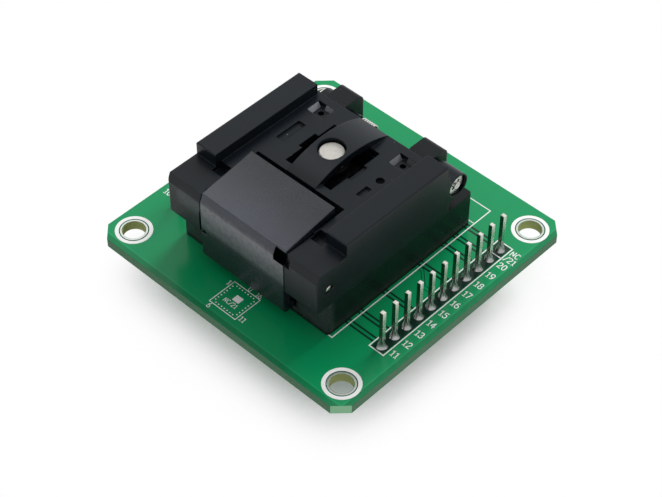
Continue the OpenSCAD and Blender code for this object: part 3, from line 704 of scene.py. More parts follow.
@dataclass
class Patch:
    """Points in millimetres, with faces as a run of corner indices and the count of each face."""

    points: Array
    loops: Array
    counts: Array

    def edges(self) -> tuple[Array, Array, Array]:
        """Face number, start corner and place within its face for every corner."""
        owner = np.repeat(np.arange(len(self.counts)), self.counts)
        start = np.cumsum(self.counts) - self.counts
        return owner, start[owner], np.arange(len(self.loops)) - start[owner]

    def outward(self) -> "Patch":
        """Turns the faces so that the volume, the sum of first . (a x b) over all edges, is positive."""
        owner, start, place = self.edges()
        ahead = start + (place + 1) % self.counts[owner]
        a, b, first = (self.points[self.loops[i]] for i in (np.arange(len(self.loops)), ahead, start))
        if np.einsum("ij,ij->", first, np.cross(a, b)) < 0:
            self.loops = self.loops[start + self.counts[owner] - 1 - place]
        return self

    @staticmethod
    def joined(patches: Iterable["Patch"]) -> "Patch":
        """All patches as one.

        Args:
            patches: the patches to join.

        Returns:
            One patch that holds them all.
        """
        several = list(patches)
        shift = np.cumsum([0] + [len(p.points) for p in several[:-1]])
        loops = [p.loops + s for p, s in zip(several, shift)]
        return Patch(
            np.concatenate([p.points for p in several]),
            np.concatenate(loops),
            np.concatenate([p.counts for p in several]),
        )

    @staticmethod
    def grid(points: Array, ring: bool = False) -> "Patch":
        """Closed surface over a grid of stations and profile corners.

        Args:
            points: stations x corners x 3; the corners of a station close on themselves.
            ring: whether the last station joins the first; otherwise both ends are capped.

        Returns:
            The surface, facing outwards.
        """
        rows, cols = points.shape[:2]
        a, b = np.meshgrid(np.arange(rows if ring else rows - 1), np.arange(cols), indexing="ij")
        a2, b2 = (a + 1) % rows, (b + 1) % cols
        corners = [a * cols + b, a2 * cols + b, a2 * cols + b2, a * cols + b2]
        quads = np.stack(corners, -1).reshape(-1, 4)
        loops, counts = [quads.ravel()], [np.full(len(quads), 4)]
        if not ring:
            first = np.arange(cols)
            loops += [first, (rows - 1) * cols + first[::-1]]
            counts.append(np.array([cols, cols]))
        flat = points.reshape(-1, 3).astype(float)
        return Patch(flat, np.concatenate(loops), np.concatenate(counts)).outward()


def unit(v: Array) -> Array:
    """Rows of v at length 1."""
    return v / np.maximum(np.linalg.norm(v, axis=-1, keepdims=True), 1e-12)


def sweep(path: Array, profile: Array, reference: Sequence[float], ring: bool = False) -> Patch:
    """Profile carried along a path.

    A station's corner is its path point + u * side + v * lift, where lift is the reference made square
    to the path, side = tangent x lift, and u grows at a corner of the path by 1 / cos(half turn).

    Args:
        path: stations x 3.
        profile: corners x 2, as u and v.
        reference: direction that lift leans to.
        ring: whether the path closes on itself.

    Returns:
        The swept surface.
    """
    legs = unit(np.roll(path, -1, axis=0) - path)
    before = np.roll(legs, 1, axis=0)
    if not ring:
        legs[-1] = legs[-2]
        before[0] = legs[0]
    tangent = unit(legs + before)
    mitre = 1.0 / np.clip(np.einsum("ij,ij->i", tangent, legs), 0.35, 1.0)
    ref = np.asarray(reference, float)
    lift = unit(ref - tangent * (tangent @ ref)[:, None])
    side = np.cross(tangent, lift)
    u, v = profile[:, 0], profile[:, 1]
    across = side[:, None] * (u[None, :, None] * mitre[:, None, None])
    return Patch.grid(path[:, None] + across + lift[:, None] * v[:, None], ring)


def circle(radius: float, sides: int) -> Array:
    """Round profile: (r cos t, r sin t) for even steps of t."""
    t = np.arange(sides) * 2 * np.pi / sides
    return radius * np.stack([np.cos(t), np.sin(t)], -1)


def revolve(profile: Array, centre: Sequence[float], sides: int = 48, swell: Array | None = None) -> Patch:
    """Closed profile turned about an upright axis: (r cos t, r sin t, z) for even steps of t.

    Args:
        profile: corners x 2, as radius and height.
        centre: foot of the axis.
        sides: steps of the turn.
        swell: factor on the radius, sides x corners.

    Returns:
        The turned ring.
    """
    t = np.arange(sides)[:, None] * 2 * np.pi / sides
    r = profile[None, :, 0] * (np.ones((sides, 1)) if swell is None else swell)
    points = np.stack([r * np.cos(t), r * np.sin(t), np.broadcast_to(profile[:, 1], r.shape)], -1)
    return Patch.grid(points + np.asarray(centre, float), ring=True)


def flat_line(points: Sequence[Any], width: float, z0: float, z1: float, ring: bool = False) -> Patch:
    """Thin raised line on the board: a bevelled strip swept along points in plan.

    Args:
        points: corners in plan.
        width: line width.
        z0: lower face.
        z1: upper face.
        ring: whether the line closes.

    Returns:
        The line.
    """
    plan = np.asarray(points, float)
    path = np.concatenate([plan, np.full((len(plan), 1), z0)], 1)
    h, rise = width / 2, z1 - z0
    bevel = min(0.25 * h, rise)
    profile = np.array([[-h, 0.0], [h, 0.0], [h - bevel, rise], [-h + bevel, rise]])
    return sweep(path, profile, (0, 0, 1), ring)


def box_ring(x0: float, x1: float, y0: float, y1: float) -> list[Span]:
    """Corners of a rectangle in plan."""
    return [(x0, y0), (x1, y0), (x1, y1), (x0, y1)]


def arc(x: float, y: float, rx: float, ry: float, start: float, end: float) -> Array:
    """Points of an elliptic arc: (x + rx cos a, y + ry sin a) for a from start to end degrees."""
    a = np.radians(np.linspace(start, end, 15))
    return np.stack([x + rx * np.cos(a), y + ry * np.sin(a)], -1)


# Pen strokes of each sign, for a height of 1 about the middle line.
STROKES: dict[str, list[Any]] = {
    "0": [arc(0.26, 0.0, 0.26, 0.5, 0, 360)],
    "1": [[(0.06, 0.3), (0.28, 0.5)], [(0.27, 0.5), (0.27, -0.5)], [(0.13, -0.5), (0.42, -0.5)]],
    "2": [np.vstack([arc(0.26, 0.22, 0.25, 0.28, 165, -25), [(0.02, -0.47)]]), [(0.0, -0.5), (0.54, -0.5)]],
    "3": [arc(0.24, 0.25, 0.24, 0.25, 150, -90), arc(0.24, -0.23, 0.28, 0.27, 90, -150)],
    "4": [[(0.38, -0.5), (0.38, 0.5)], [(0.36, 0.48), (0.0, -0.18)], [(0.0, -0.2), (0.54, -0.2)]],
    "5": [[(0.5, 0.5), (0.1, 0.5)], [(0.1, 0.5), (0.06, 0.08)], arc(0.24, -0.18, 0.28, 0.32, 125, -150)],
    "6": [arc(0.26, -0.2, 0.26, 0.3, 0, 360), arc(0.46, -0.1, 0.46, 0.6, 180, 105)],
    "7": [[(0.0, 0.5), (0.52, 0.5)], [(0.5, 0.48), (0.16, -0.5)]],
    "8": [arc(0.26, 0.26, 0.21, 0.24, 0, 360), arc(0.26, -0.24, 0.26, 0.26, 0, 360)],
    "9": [arc(0.26, 0.2, 0.26, 0.3, 0, 360), arc(0.06, 0.1, 0.46, 0.6, 0, -75)],
    "N": [[(0.0, -0.5), (0.0, 0.5)], [(0.0, 0.5), (0.5, -0.5)], [(0.5, -0.5), (0.5, 0.5)]],
    "C": [arc(0.3, 0.0, 0.3, 0.5, 50, 310)],
    "U": [np.vstack([[(0.0, 0.5)], arc(0.25, -0.25, 0.25, 0.25, 180, 360), [(0.5, 0.5)]])],
    "/": [[(0.0, -0.55), (0.42, 0.55)]],
}
# Step from sign to sign, pen width and the space after a sign, as shares of the height.
ADVANCE = {"1": 0.64, "/": 0.6, "N": 0.78}
PLAIN_ADVANCE = 0.74
PEN = 0.16
SIGN_SPACE = 0.2
# How far the pen runs on past the ends of a stroke, as a share of its width.
PEN_OVERRUN = 0.4


def lettering(text: str, cap: float, x: float, y: float, z: Span, middle: bool = False) -> Patch:
    """Printed signs lying in plan, drawn with a pen of 0.16 of their height, the text along +X.

    Args:
        text: the signs.
        cap: their height.
        x: start of the text, or its middle.
        y: middle line.
        z: lower and upper face.
        middle: whether the text is centred on x.

    Returns:
        The signs.
    """
    pen = PEN * cap
    steps = [ADVANCE.get(sign, PLAIN_ADVANCE) * cap for sign in text]
    start = x - (sum(steps) - SIGN_SPACE * cap) / 2 if middle else x
    lines = []
    for sign, left in zip(text, np.cumsum([0.0] + steps)):
        for stroke in STROKES[sign]:
            path = np.asarray(stroke, float) * cap + (start + left, y)
            closed = len(path) > 3 and np.allclose(path[0], path[-1])
            if not closed:
                path[[0, -1]] += PEN_OVERRUN * pen * unit(path[[0, -1]] - path[[1, -2]])
            lines.append(flat_line(path[:-1] if closed else path, pen, z[0], z[1], closed))
    return Patch.joined(lines)


def spindle(x: Array, radius: Array, y: float, z: float, sides: int = 40) -> Patch:
    """Turned pin along X: at each x a circle of the given radius about (y, z).

    Args:
        x: stations.
        radius: radius at each station.
        y: axis place along.
        z: axis height.
        sides: corners of a circle.

    Returns:
        The pin.
    """
    t = np.arange(sides) * 2 * np.pi / sides
    ring = np.stack([np.cos(t), np.sin(t)], -1)[None] * radius[:, None, None]
    points = np.concatenate([np.broadcast_to(x[:, None, None], ring.shape[:2] + (1,)), ring], -1)
    return Patch.grid(points + np.array([0.0, y, z]))


def wedge(x: Span, y: Span, z: Span, along_x: bool) -> Patch:
    """Sloped strip: a triangle with its foot reaching out, carried along Y or along X.

    Args:
        x: span across; for a strip along Y the slope falls from the first to the second.
        y: span along; for a strip along X the slope falls from the second to the first.
        z: foot and top.
        along_x: whether the strip runs along X.

    Returns:
        The strip.
    """
    if along_x:
        path = np.array([[x[0], y[1], z[0]], [x[1], y[1], z[0]]])
        reach = y[1] - y[0]
    else:
        path = np.array([[x[0], y[0], z[0]], [x[0], y[1], z[0]]])
        reach = x[1] - x[0]
    rise = z[1] - z[0]
    profile = np.array([[0.0, 0.0], [reach, 0.0], [0.06 * reach, rise], [0.0, rise]])
    return sweep(path, profile, (0, 0, 1))


def linked(name: str, data: Any) -> Any:
    """New object of the scene."""
    made = bpy.data.objects.new(name, data)
    bpy.context.scene.collection.objects.link(made)
    return made


def piece(
    name: str, patch: Patch, body: Body | None, material: Any, smooth: float = 40.0
) -> Any:
    """Makes a mesh object of a patch and lets it ride on a body.

    Args:
        name: name of the piece.
        patch: its surface in millimetres.
        body: body that carries it, or None for a piece that joins two bodies.
        material: its finish.
        smooth: edges sharper than this angle in degrees stay sharp.

    Returns:
        The object.
    """
    mesh = bpy.data.meshes.new(name)
    mesh.vertices.add(len(patch.points))
    mesh.vertices.foreach_set("co", (patch.points * MM).ravel())
    mesh.loops.add(len(patch.loops))
    mesh.loops.foreach_set("vertex_index", patch.loops.astype(np.int32))
    mesh.polygons.add(len(patch.counts))
    starts = np.cumsum(patch.counts) - patch.counts
    mesh.polygons.foreach_set("loop_start", starts.astype(np.int32))
    mesh.polygons.foreach_set("use_smooth", np.ones(len(patch.counts), bool))
    mesh.update(calc_edges=True)
    mesh.validate()
    mesh.set_sharp_from_angle(angle=np.radians(smooth))
    mesh.materials.append(material)
    made = linked(name, mesh)
    if body:
        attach(made, body.value)
    LOG.info("piece %s: %d faces on %s", name, len(patch.counts), body.value if body else "two bodies")
    return made


def dress(material: Any, *nodes: str) -> None:
    """Gives CAD nodes a finish.

    Args:
        material: the finish.
        nodes: names of the nodes.
    """
    for name in nodes:
        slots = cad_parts[name].data.materials
        slots.clear()
        slots.append(material)
        LOG.info("node %s: %s", name, material.name)


# Sub-assemblies


@dataclass
class CircuitBoard:
    """The green board with its printed marks, rings, pads and tracks."""

    finishes: Finishes
    top: float = 8.1
    bottom: float = 6.5
    hole_x: float = 20.9
    hole_y: float = 20.1
    row_x: float = 20.32
    pin_y: Array = field(default_factory=lambda: 1.27 + (np.arange(11) - 5) * 2.54)
    socket_x: float = -0.7
    socket_y: float = 0.6
    sunk: float = 0.01
    ink: float = 0.02
    line: float = 0.2
    ring_slope: float = 0.03
    ring_sides: int = 72
    print_ring: Span = (2.23, 2.83)
    tin_ring: Span = (1.78, 2.08)
    tin_rise: float = 0.03
    gap_ring: Span = (2.09, 2.22)
    gap_rise: float = 0.012
    row_reach: Span = (0.95, 1.36)
    row_front: Span = (-12.2, -12.55)
    row_out: float = 1.3
    row_back: float = 15.2
    row_split: float = 12.65
    socket_box: Box = (-14.9, 14.25, -15.05, 18.95)
    ledge_y: float = 15.3
    ledge_line: float = 0.16
    number_x: Span = (-23.0, 22.05)
    number_shift: Span = (0.15, 0.12)
    number_cap: float = 1.05
    back_cap: float = 1.0
    back_marks: tuple[tuple[str, float, float, bool], ...] = (
        ("NC", 22.05, 0.55, False),
        ("/21", 21.95, -0.8, False),
        ("NC", -23.1, 0.0, True),
    )
    chip_box: Box = (-2.95, 2.2, -22.05, -17.05)
    chip_line: float = 0.15
    chip_pitch: float = 0.56
    chip_inset: Span = (0.44, 0.42)
    chip_dash: float = 0.2
    chip_pad: tuple[Span, Span] = ((-0.82, -19.12), (0.44, -19.12))
    chip_pad_width: float = 1.16
    chip_marks: tuple[tuple[str, float, float, float], ...] = (
        ("NC/21", 0.72, -0.45, -20.33),
        ("1", 0.85, -3.42, -17.7),
        ("6", 0.85, -2.35, -22.68),
        ("11", 0.85, 2.95, -21.3),
        ("16", 0.8, 1.5, -16.55),
        ("U", 0.8, -0.25, -16.55),
    )
    bare_rise: float = 0.006
    field_shift: float = -0.03
    field_y: Span = (-12.4, 15.05)
    field_width: float = 2.3
    tracked: tuple[int, ...] = (0, 1, 3, 6, 8, 9, 10)
    track_x: Span = (12.5, 18.9)
    track_shift: float = 0.16
    track_half: float = 0.36
    track_gap: float = 0.36
    bend: tuple[Span, ...] = ((13.0, 3.1), (14.9, 3.1), (17.2, 0.8), (18.9, 0.8))
    bend_half: float = 0.3
    bend_gap: float = 0.12
    lower_rise: float = 0.03
    lower_line: float = 0.34
    lower_near: Point = (4.4, 0.8, 3.2)
    lower_knee: Point = (9.0, 2.0, 5.6)
    lower_end: Span = (16.8, 18.9)
    strip_half: float = 1.75
    strip_y: Span = (-13.3, 15.9)

    def build(self) -> None:
        """Builds the board's pieces in order."""
        dress(self.finishes.mask, "circuit_board")
        dress(self.finishes.solder, "tail_solder")
        self.rings()
        self.outlines()
        self.numbers()
        self.footprint()
        self.tracks()
        self.lower_tracks()

    def printed(self, name: str, patches: Iterable[Patch]) -> None:
        """Joins printed marks into one white piece."""
        piece(name, Patch.joined(patches), Body.BOARD, self.finishes.ink)

    def print_faces(self) -> Span:
        """Lower and upper face of the print on top of the board."""
        return self.top - self.sunk, self.top + self.ink

    def holes(self) -> list[Span]:
        """Centres of the four corner holes."""
        return [(sx * self.hole_x, sy * self.hole_y) for sx in (-1, 1) for sy in (-1, 1)]

    def washers(self, radii: Span, rise: float) -> Patch:
        """Flat rings round the corner holes on both faces.

        Args:
            radii: inner and outer radius.
            rise: height above the face.

        Returns:
            Eight rings.
        """
        inner, outer = radii
        upper = (self.top - self.sunk, self.top + rise)
        lower = (self.bottom + self.sunk, self.bottom - rise)
        rings = []
        for foot, face in (upper, lower):
            sloped = [[outer - self.ring_slope, face], [inner + self.ring_slope, face]]
            profile = np.array([[inner, foot], [outer, foot], *sloped])
            rings += [revolve(profile, (x, y, 0.0), self.ring_sides) for x, y in self.holes()]
        return Patch.joined(rings)

    def rings(self) -> None:
        """White printed rings and tinned rings round the corner holes, and the dark gap between them."""
        self.printed("hole_print_rings", [self.washers(self.print_ring, self.ink)])
        tin = self.washers(self.tin_ring, self.tin_rise)
        piece("hole_tin_rings", tin, Body.BOARD, self.finishes.ring)
        gap = self.washers(self.gap_ring, self.gap_rise)
        piece("hole_ring_gaps", gap, Body.BOARD, self.finishes.mask_bare)

    def outlines(self) -> None:
        """Printed boxes round the pin rows and the outline of the socket."""
        face = self.print_faces()
        lines = []
        for side, reach, front in zip((-1, 1), self.row_reach, self.row_front):
            x0, x1 = side * self.row_x - reach, side * self.row_x + self.row_out
            lines.append(flat_line(box_ring(x0, x1, front, self.row_back), self.line, *face, True))
            lines.append(flat_line([(x0, self.row_split), (x1, self.row_split)], self.line, *face))
        lines.append(flat_line(box_ring(*self.socket_box), self.line, *face, True))
        ledge = [(x, self.ledge_y) for x in self.socket_box[:2]]
        lines.append(flat_line(ledge, self.ledge_line, *face))
        self.printed("print_outlines", lines)

    def numbers(self) -> None:
        """Pin numbers beside the rows: 11 to 20 on the right, 10 to 1 on the left, NC at the back pin."""
        face = self.print_faces()
        (left, right), (left_up, right_up) = self.number_x, self.number_shift
        marks = []
        for i, y in enumerate(self.pin_y[:-1]):
            marks.append(lettering(str(11 + i), self.number_cap, right, y + right_up, face))
            marks.append(lettering(str(10 - i), self.number_cap, left, y + left_up, face, True))
        for text, x, up, middle in self.back_marks:
            marks.append(lettering(text, self.back_cap, x, self.pin_y[-1] + up, face, middle))
        self.printed("print_pin_numbers", marks)

    def footprint(self) -> None:
        """Printed diagram of the chip's pads on the front strip."""
        face = self.print_faces()
        x0, x1, y0, y1 = self.chip_box
        cx, cy = (x0 + x1) / 2, (y0 + y1) / 2
        dx, dy = self.chip_inset
        half = self.chip_dash / 2
        marks = [flat_line(box_ring(*self.chip_box), self.chip_line, *face, True)]
        for k in np.arange(-3, 4) * self.chip_pitch:
            for px, py in ((cx + k, y0 + dy), (cx + k, y1 - dy), (x0 + dx, cy + k), (x1 - dx, cy + k)):
                marks.append(flat_line([(px - half, py), (px + half, py)], self.chip_dash, *face))
        marks.append(flat_line(self.chip_pad, self.chip_pad_width, *face))
        for text, cap, x, y in self.chip_marks:
            marks.append(lettering(text, cap, x, y, face, True))
        self.printed("print_footprint", marks)

    def tracks(self) -> None:
        """Bare gaps in the copper: a dark field under each pin row and gaps on both sides of the tracks."""
        face = (self.top - self.sunk, self.top + self.bare_rise)
        gaps = []
        for side in (-1, 1):
            row = side * self.row_x + self.field_shift
            gaps.append(flat_line([(row, y) for y in self.field_y], self.field_width, *face))
            for i in self.tracked:
                for d in (-self.track_half, self.track_half):
                    y = self.pin_y[i] + self.track_shift + d
                    gaps.append(flat_line([(side * x, y) for x in self.track_x], self.track_gap, *face))
        for d in (-self.bend_half, self.bend_half):
            gaps.append(flat_line([(x, y + d) for x, y in self.bend], self.bend_gap, *face))
        piece("copper_gaps", Patch.joined(gaps), Body.BOARD, self.finishes.mask_bare)

    def lower_tracks(self) -> None:
        """Raised tracks under the board from contact tails to pins, and a printed box round each strip."""
        foot = self.bottom + self.sunk
        near_x, near_bulge, near_y = self.lower_near
        knee_x, knee_bulge, knee_y = self.lower_knee
        runs, lines = [], []
        for side in (-1, 1):
            for k, y in zip(np.linspace(-1, 1, 10), self.pin_y[:-1]):
                tail = self.socket_x + side * (near_x + near_bulge * (1 - abs(k)))
                knee = self.socket_x + side * (knee_x + knee_bulge * abs(k))
                run = [(tail, self.socket_y + near_y * k), (knee, self.socket_y + knee_y * k)]
                run += [(side * x, y) for x in self.lower_end]
                runs.append(flat_line(run, self.lower_line, foot, self.bottom - self.lower_rise))
            x = side * self.row_x
            ring = box_ring(x - self.strip_half, x + self.strip_half, *self.strip_y)
            lines.append(flat_line(ring, self.line, foot, self.bottom - self.ink, True))
        piece("lower_tracks", Patch.joined(runs), Body.BOARD, self.finishes.track)
        self.printed("print_lower_boxes", lines)


@dataclass
class HeaderRows:
    """Two rows of square pins with their strips and soldered joints."""

    finishes: Finishes
    board: CircuitBoard
    foot_r: float = 0.84
    neck_r: float = 0.36
    bore_r: float = 0.2
    height: float = 1.9
    lip: float = 0.04
    fall: float = 2.6
    sunk: float = 0.005
    levels: int = 14
    sides: int = 32

    def build(self) -> None:
        """Dresses pins and strips and builds the soldered joints."""
        dress(self.finishes.pin, "header_pins_left", "header_pins_right")
        dress(self.finishes.strip, "header_strip_left", "header_strip_right")
        for side, name in ((-1, "left"), (1, "right")):
            x = side * self.board.row_x
            cones = Patch.joined(self.cone(x, y, i) for i, y in enumerate(self.board.pin_y))
            made = piece(f"solder_joints_{name}", cones, Body.BOARD, self.finishes.solder)
            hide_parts(f"header_solder_{name}")

    def cone(self, x: float, y: float, seed: int) -> Patch:
        """One joint: the radius falls from foot to neck as (1 - s) ** fall with height s, a little uneven.

        Args:
            x: pin position across.
            y: pin position along.
            seed: number that varies the swell.

        Returns:
            A closed ring of solder round the pin.
        """
        s = np.linspace(0, 1, self.levels)
        r = self.neck_r + (self.foot_r - self.neck_r) * (1 - s) ** self.fall
        outer = np.stack([r, self.height * s], -1)
        top = self.height - self.lip
        profile = np.concatenate([[[self.bore_r, 0.0]], outer, [[self.bore_r, top]]])
        t = np.arange(self.sides)[:, None] * 2 * np.pi / self.sides
        fade = np.concatenate([[0.0], 1 - s, [0.0]])[None]
        swell = 1 + 0.035 * fade * np.sin(2 * t + 1.7 * seed) + 0.02 * fade * np.sin(3 * t + 0.9 * seed)
        return revolve(profile, (x, y, self.board.top - self.sunk), self.sides, swell)


@dataclass
class Hinge:
    """Hinge shaft, retaining clips and the torsion spring."""

    finishes: Finishes
    socket_x: float = -0.7
    y: float = 11.2
    z: float = 18.6
    coil_r: float = 0.9
    wire_r: float = 0.15
    start: float = -4.2
    pitch: float = 0.44
    turns: int = 7
    base_top: float = 14.5
    lid_back: float = 9.4
    foot_lift: float = 0.02
    bend: float = 0.35
    tail_depth: float = 0.6
    steps: int = 28
    sides: int = 10

    def build(self) -> None:
        """Dresses the metal pieces and builds the wound spring."""
        dress(self.finishes.shaft, "hinge_shaft")
        dress(self.finishes.clip, "hinge_clip_left", "hinge_clip_right")
        x0 = self.socket_x + self.start
        x1 = x0 + (self.turns - 1) * self.pitch
        wound = self.wire(x0, x1)
        made = piece("hinge_spring_wire", wound, None, self.finishes.spring, WIRE_SMOOTH)
        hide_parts("hinge_spring")
        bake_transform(made)

    def wire(self, x0: float, x1: float) -> Patch:
        """Wire of the spring: a leg up from the base, a helix about the shaft, a leg forward into the lid.

        Args:
            x0: place of the first turn across.
            x1: place of the last turn.

        Returns:
            The round wire.
        """
        total = 2 * np.pi * (self.turns - 1) + np.pi / 2
        t = np.linspace(0, 1, self.steps * self.turns)
        angle = -np.pi / 2 - t * total
        along, up = self.coil_r * np.cos(angle), self.coil_r * np.sin(angle)
        helix = np.stack([x0 + (x1 - x0) * t, self.y + along, self.z + up], -1)
        foot = np.linspace(self.base_top + self.foot_lift, self.z - self.coil_r - self.bend, 6)
        leg = np.stack([np.full(6, x0), np.full(6, self.y), foot], -1)
        reach = np.linspace(self.y - self.coil_r - self.bend, self.lid_back - self.tail_depth, 5)
        tail = np.stack([np.full(5, x1), reach, np.full(5, self.z)], -1)
        path = np.concatenate([leg, helix[2:-2], tail])
        return sweep(path, circle(self.wire_r, self.sides), (1, 0, 0))


@dataclass(frozen=True)
class Coil:
    """Upright compression spring of round wire, with its middle line's radius at the foot and the tip."""

    radius: float
    tip: float
    wire: float
    turns: float
    flat_turns: float = 1.2
    steps: int = 24
    sides: int = 8

    def between(self, x: float, y: float, z0: float, z1: float) -> Patch:
        """Helix with flat ends: height partly eased as 3 s^2 - 2 s^3, radius even in s from foot to tip.

        Args:
            x: place across.
            y: place along.
            z0: lower end.
            z1: upper end.

        Returns:
            The round wire.
        """
        t = np.linspace(0, 1, int(self.steps * self.turns))
        flat = self.flat_turns / self.turns
        s = np.clip((t - flat * 0.5) / (1 - flat), 0, 1)
        rise = 0.85 * s + 0.15 * (3 * s**2 - 2 * s**3)
        height = z0 + self.wire + (z1 - z0 - 2 * self.wire) * rise
        angle = 2 * np.pi * self.turns * t
        reach = self.radius + (self.tip - self.radius) * s
        path = np.stack([x + reach * np.cos(angle), y + reach * np.sin(angle), height], -1)
        return sweep(path, circle(self.wire, self.sides), (0, 0, 1))


@dataclass
class SocketBase:
    """Moulded base with the chip nest and the contacts."""

    finishes: Finishes

    def build(self) -> None:
        """Dresses the base's nodes."""
        dress(self.finishes.base, "socket_base")
        dress(self.finishes.nest, "chip_nest")
        rows = [f"contacts_{side}" for side in ("front", "back", "left", "right")]
        dress(self.finishes.gold, *rows, "ground_contact")


@dataclass
class Lid:
    """Moulded lid with the plate and screws under it and pale strips of painted highlight in its corner
    pockets.
    """

    finishes: Finishes
    socket_x: float = -0.7
    deck: float = 21.9
    pocket_x: float = 8.0
    pocket_half: float = 1.55
    pocket_depth: float = 0.75
    brim_gap: float = 0.05
    side_reach: float = 0.55
    side_y: Span = (5.55, 7.75)
    back_x: Span = (1.45, 2.95)
    back_y: Span = (7.6, 8.0)

    def build(self) -> None:
        """Dresses the lid and builds painted highlight strips on the left wall and back of each pocket."""
        dress(self.finishes.lid, "lid_frame")
        dress(self.finishes.plate, "pad_retainer")
        dress(self.finishes.screw, "retainer_screws")
        height = (self.deck - self.pocket_depth, self.deck - self.brim_gap)
        strips = []
        for side in (-1, 1):
            x = self.socket_x + side * self.pocket_x - self.pocket_half
            strips.append(wedge((x, x + self.side_reach), self.side_y, height, False))
            strips.append(wedge((x + self.back_x[0], x + self.back_x[1]), self.back_y, height, True))
        # The strips are pale paint, a painted highlight where the sloped pocket walls catch the light.
        piece("pocket_highlight_strips", Patch.joined(strips), Body.LID, self.finishes.pocket_highlight)


@dataclass
class Latch:
    """Thumb latch with its pin and two springs."""

    finishes: Finishes
    socket_x: float = -0.7
    spring: Coil = Coil(0.875, 0.55, 0.175, 8.0)
    spring_x: float = 5.4
    spring_y: float = -9.0
    spring_keep: float = 0.84
    shelf: float = 16.6
    under: float = 21.75
    pin_half: float = 14.45
    pin_r: float = 0.75
    pin_y: float = -15.2
    pin_z: float = 17.8
    dome: float = 0.4

    def build(self) -> None:
        """Dresses the lever and its pin and builds the springs."""
        dress(self.finishes.latch, "latch_lever")
        pin = piece("latch_pivot_pin", self.pin(), Body.LID, self.finishes.clip)
        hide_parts("latch_pin")
        steel = self.finishes.spring
        for side, name in ((-1, "left"), (1, "right")):
            x = self.socket_x + side * self.spring_x
            wound = self.spring.between(x, self.spring_y, self.shelf, self.under)
            made = piece(f"latch_spring_wire_{name}", wound, Body.LID, steel, WIRE_SMOOTH)
            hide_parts(f"latch_spring_{name}")
            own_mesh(made)

    def pin(self) -> Patch:
        """Pivot pin with ends domed as a quarter ellipse: radius r sqrt(1 - s^2) over the dome's length."""
        s = np.linspace(0, 0.97, 9)
        end = self.pin_half - self.dome + self.dome * s
        radius = self.pin_r * np.sqrt(1 - s**2)
        x = np.concatenate([-end[::-1], end]) + self.socket_x
        return spindle(x, np.concatenate([radius[::-1], radius]), self.pin_y, self.pin_z)


@dataclass
class PressurePad:
    """Floating pad with its metal slug and four springs."""

    finishes: Finishes
    socket_x: float = -0.7
    y: float = 0.6
    spring: Coil = Coil(0.65, 0.65, 0.15, 7.0)
    spring_x: float = 4.4
    spring_y: float = 3.4
    spring_keep: float = 0.913
    low: float = 16.1
    roof: float = 20.7

    def build(self) -> None:
        """Dresses the pad and the slug and builds the springs."""
        dress(self.finishes.pad, "pressure_pad")
        dress(self.finishes.slug, "pad_slug")
        wound = Patch.joined(
            self.spring.between(self.socket_x + x, self.y + y, self.low, self.roof)
            for x in (-self.spring_x, self.spring_x)
            for y in (-self.spring_y, self.spring_y)
        )
        made = piece("pad_spring_wires", wound, Body.LID, self.finishes.wire, WIRE_SMOOTH)
        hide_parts("pad_springs")
        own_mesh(made)


# Stage


def posed(name: str, data: Any, axes: Sequence[Any], place: Any) -> Any:
    """Adds a lamp or camera at a place, turned.

    Args:
        name: name of the object.
        data: its lamp or camera data.
        axes: directions of its X, Y and Z.
        place: position in metres.

    Returns:
        The object.
    """
    turn = np.eye(4)
    turn[:3, :3] = np.stack([np.asarray(axis, float) for axis in axes], -1)
    turn[:3, 3] = place
    made = linked(name, data)
    made.matrix_world = Matrix(turn.tolist())
    return made


@dataclass(frozen=True)
class Lamp:
    """Square soft lamp aimed at the middle of the part; mirrored tells whether glossy surfaces show it."""

    name: str
    place: Point
    size: float
    power: float
    tint: Colour
    mirrored: bool
    aim: Point = (0.0, 0.0, 0.015)

    def build(self) -> None:
        """Adds the lamp, with sizes in metres and power in watts."""
        data = bpy.data.lights.new(self.name, "AREA")
        data.shape = "SQUARE"
        data.size = self.size
        data.energy = self.power
        data.color = self.tint
        back = unit(np.array(self.place) - np.array(self.aim))
        side = unit(np.cross([0.0, 0.0, 1.0], back))
        made = posed(self.name, data, (side, np.cross(back, side), back), self.place)
        made.visible_glossy = self.mirrored


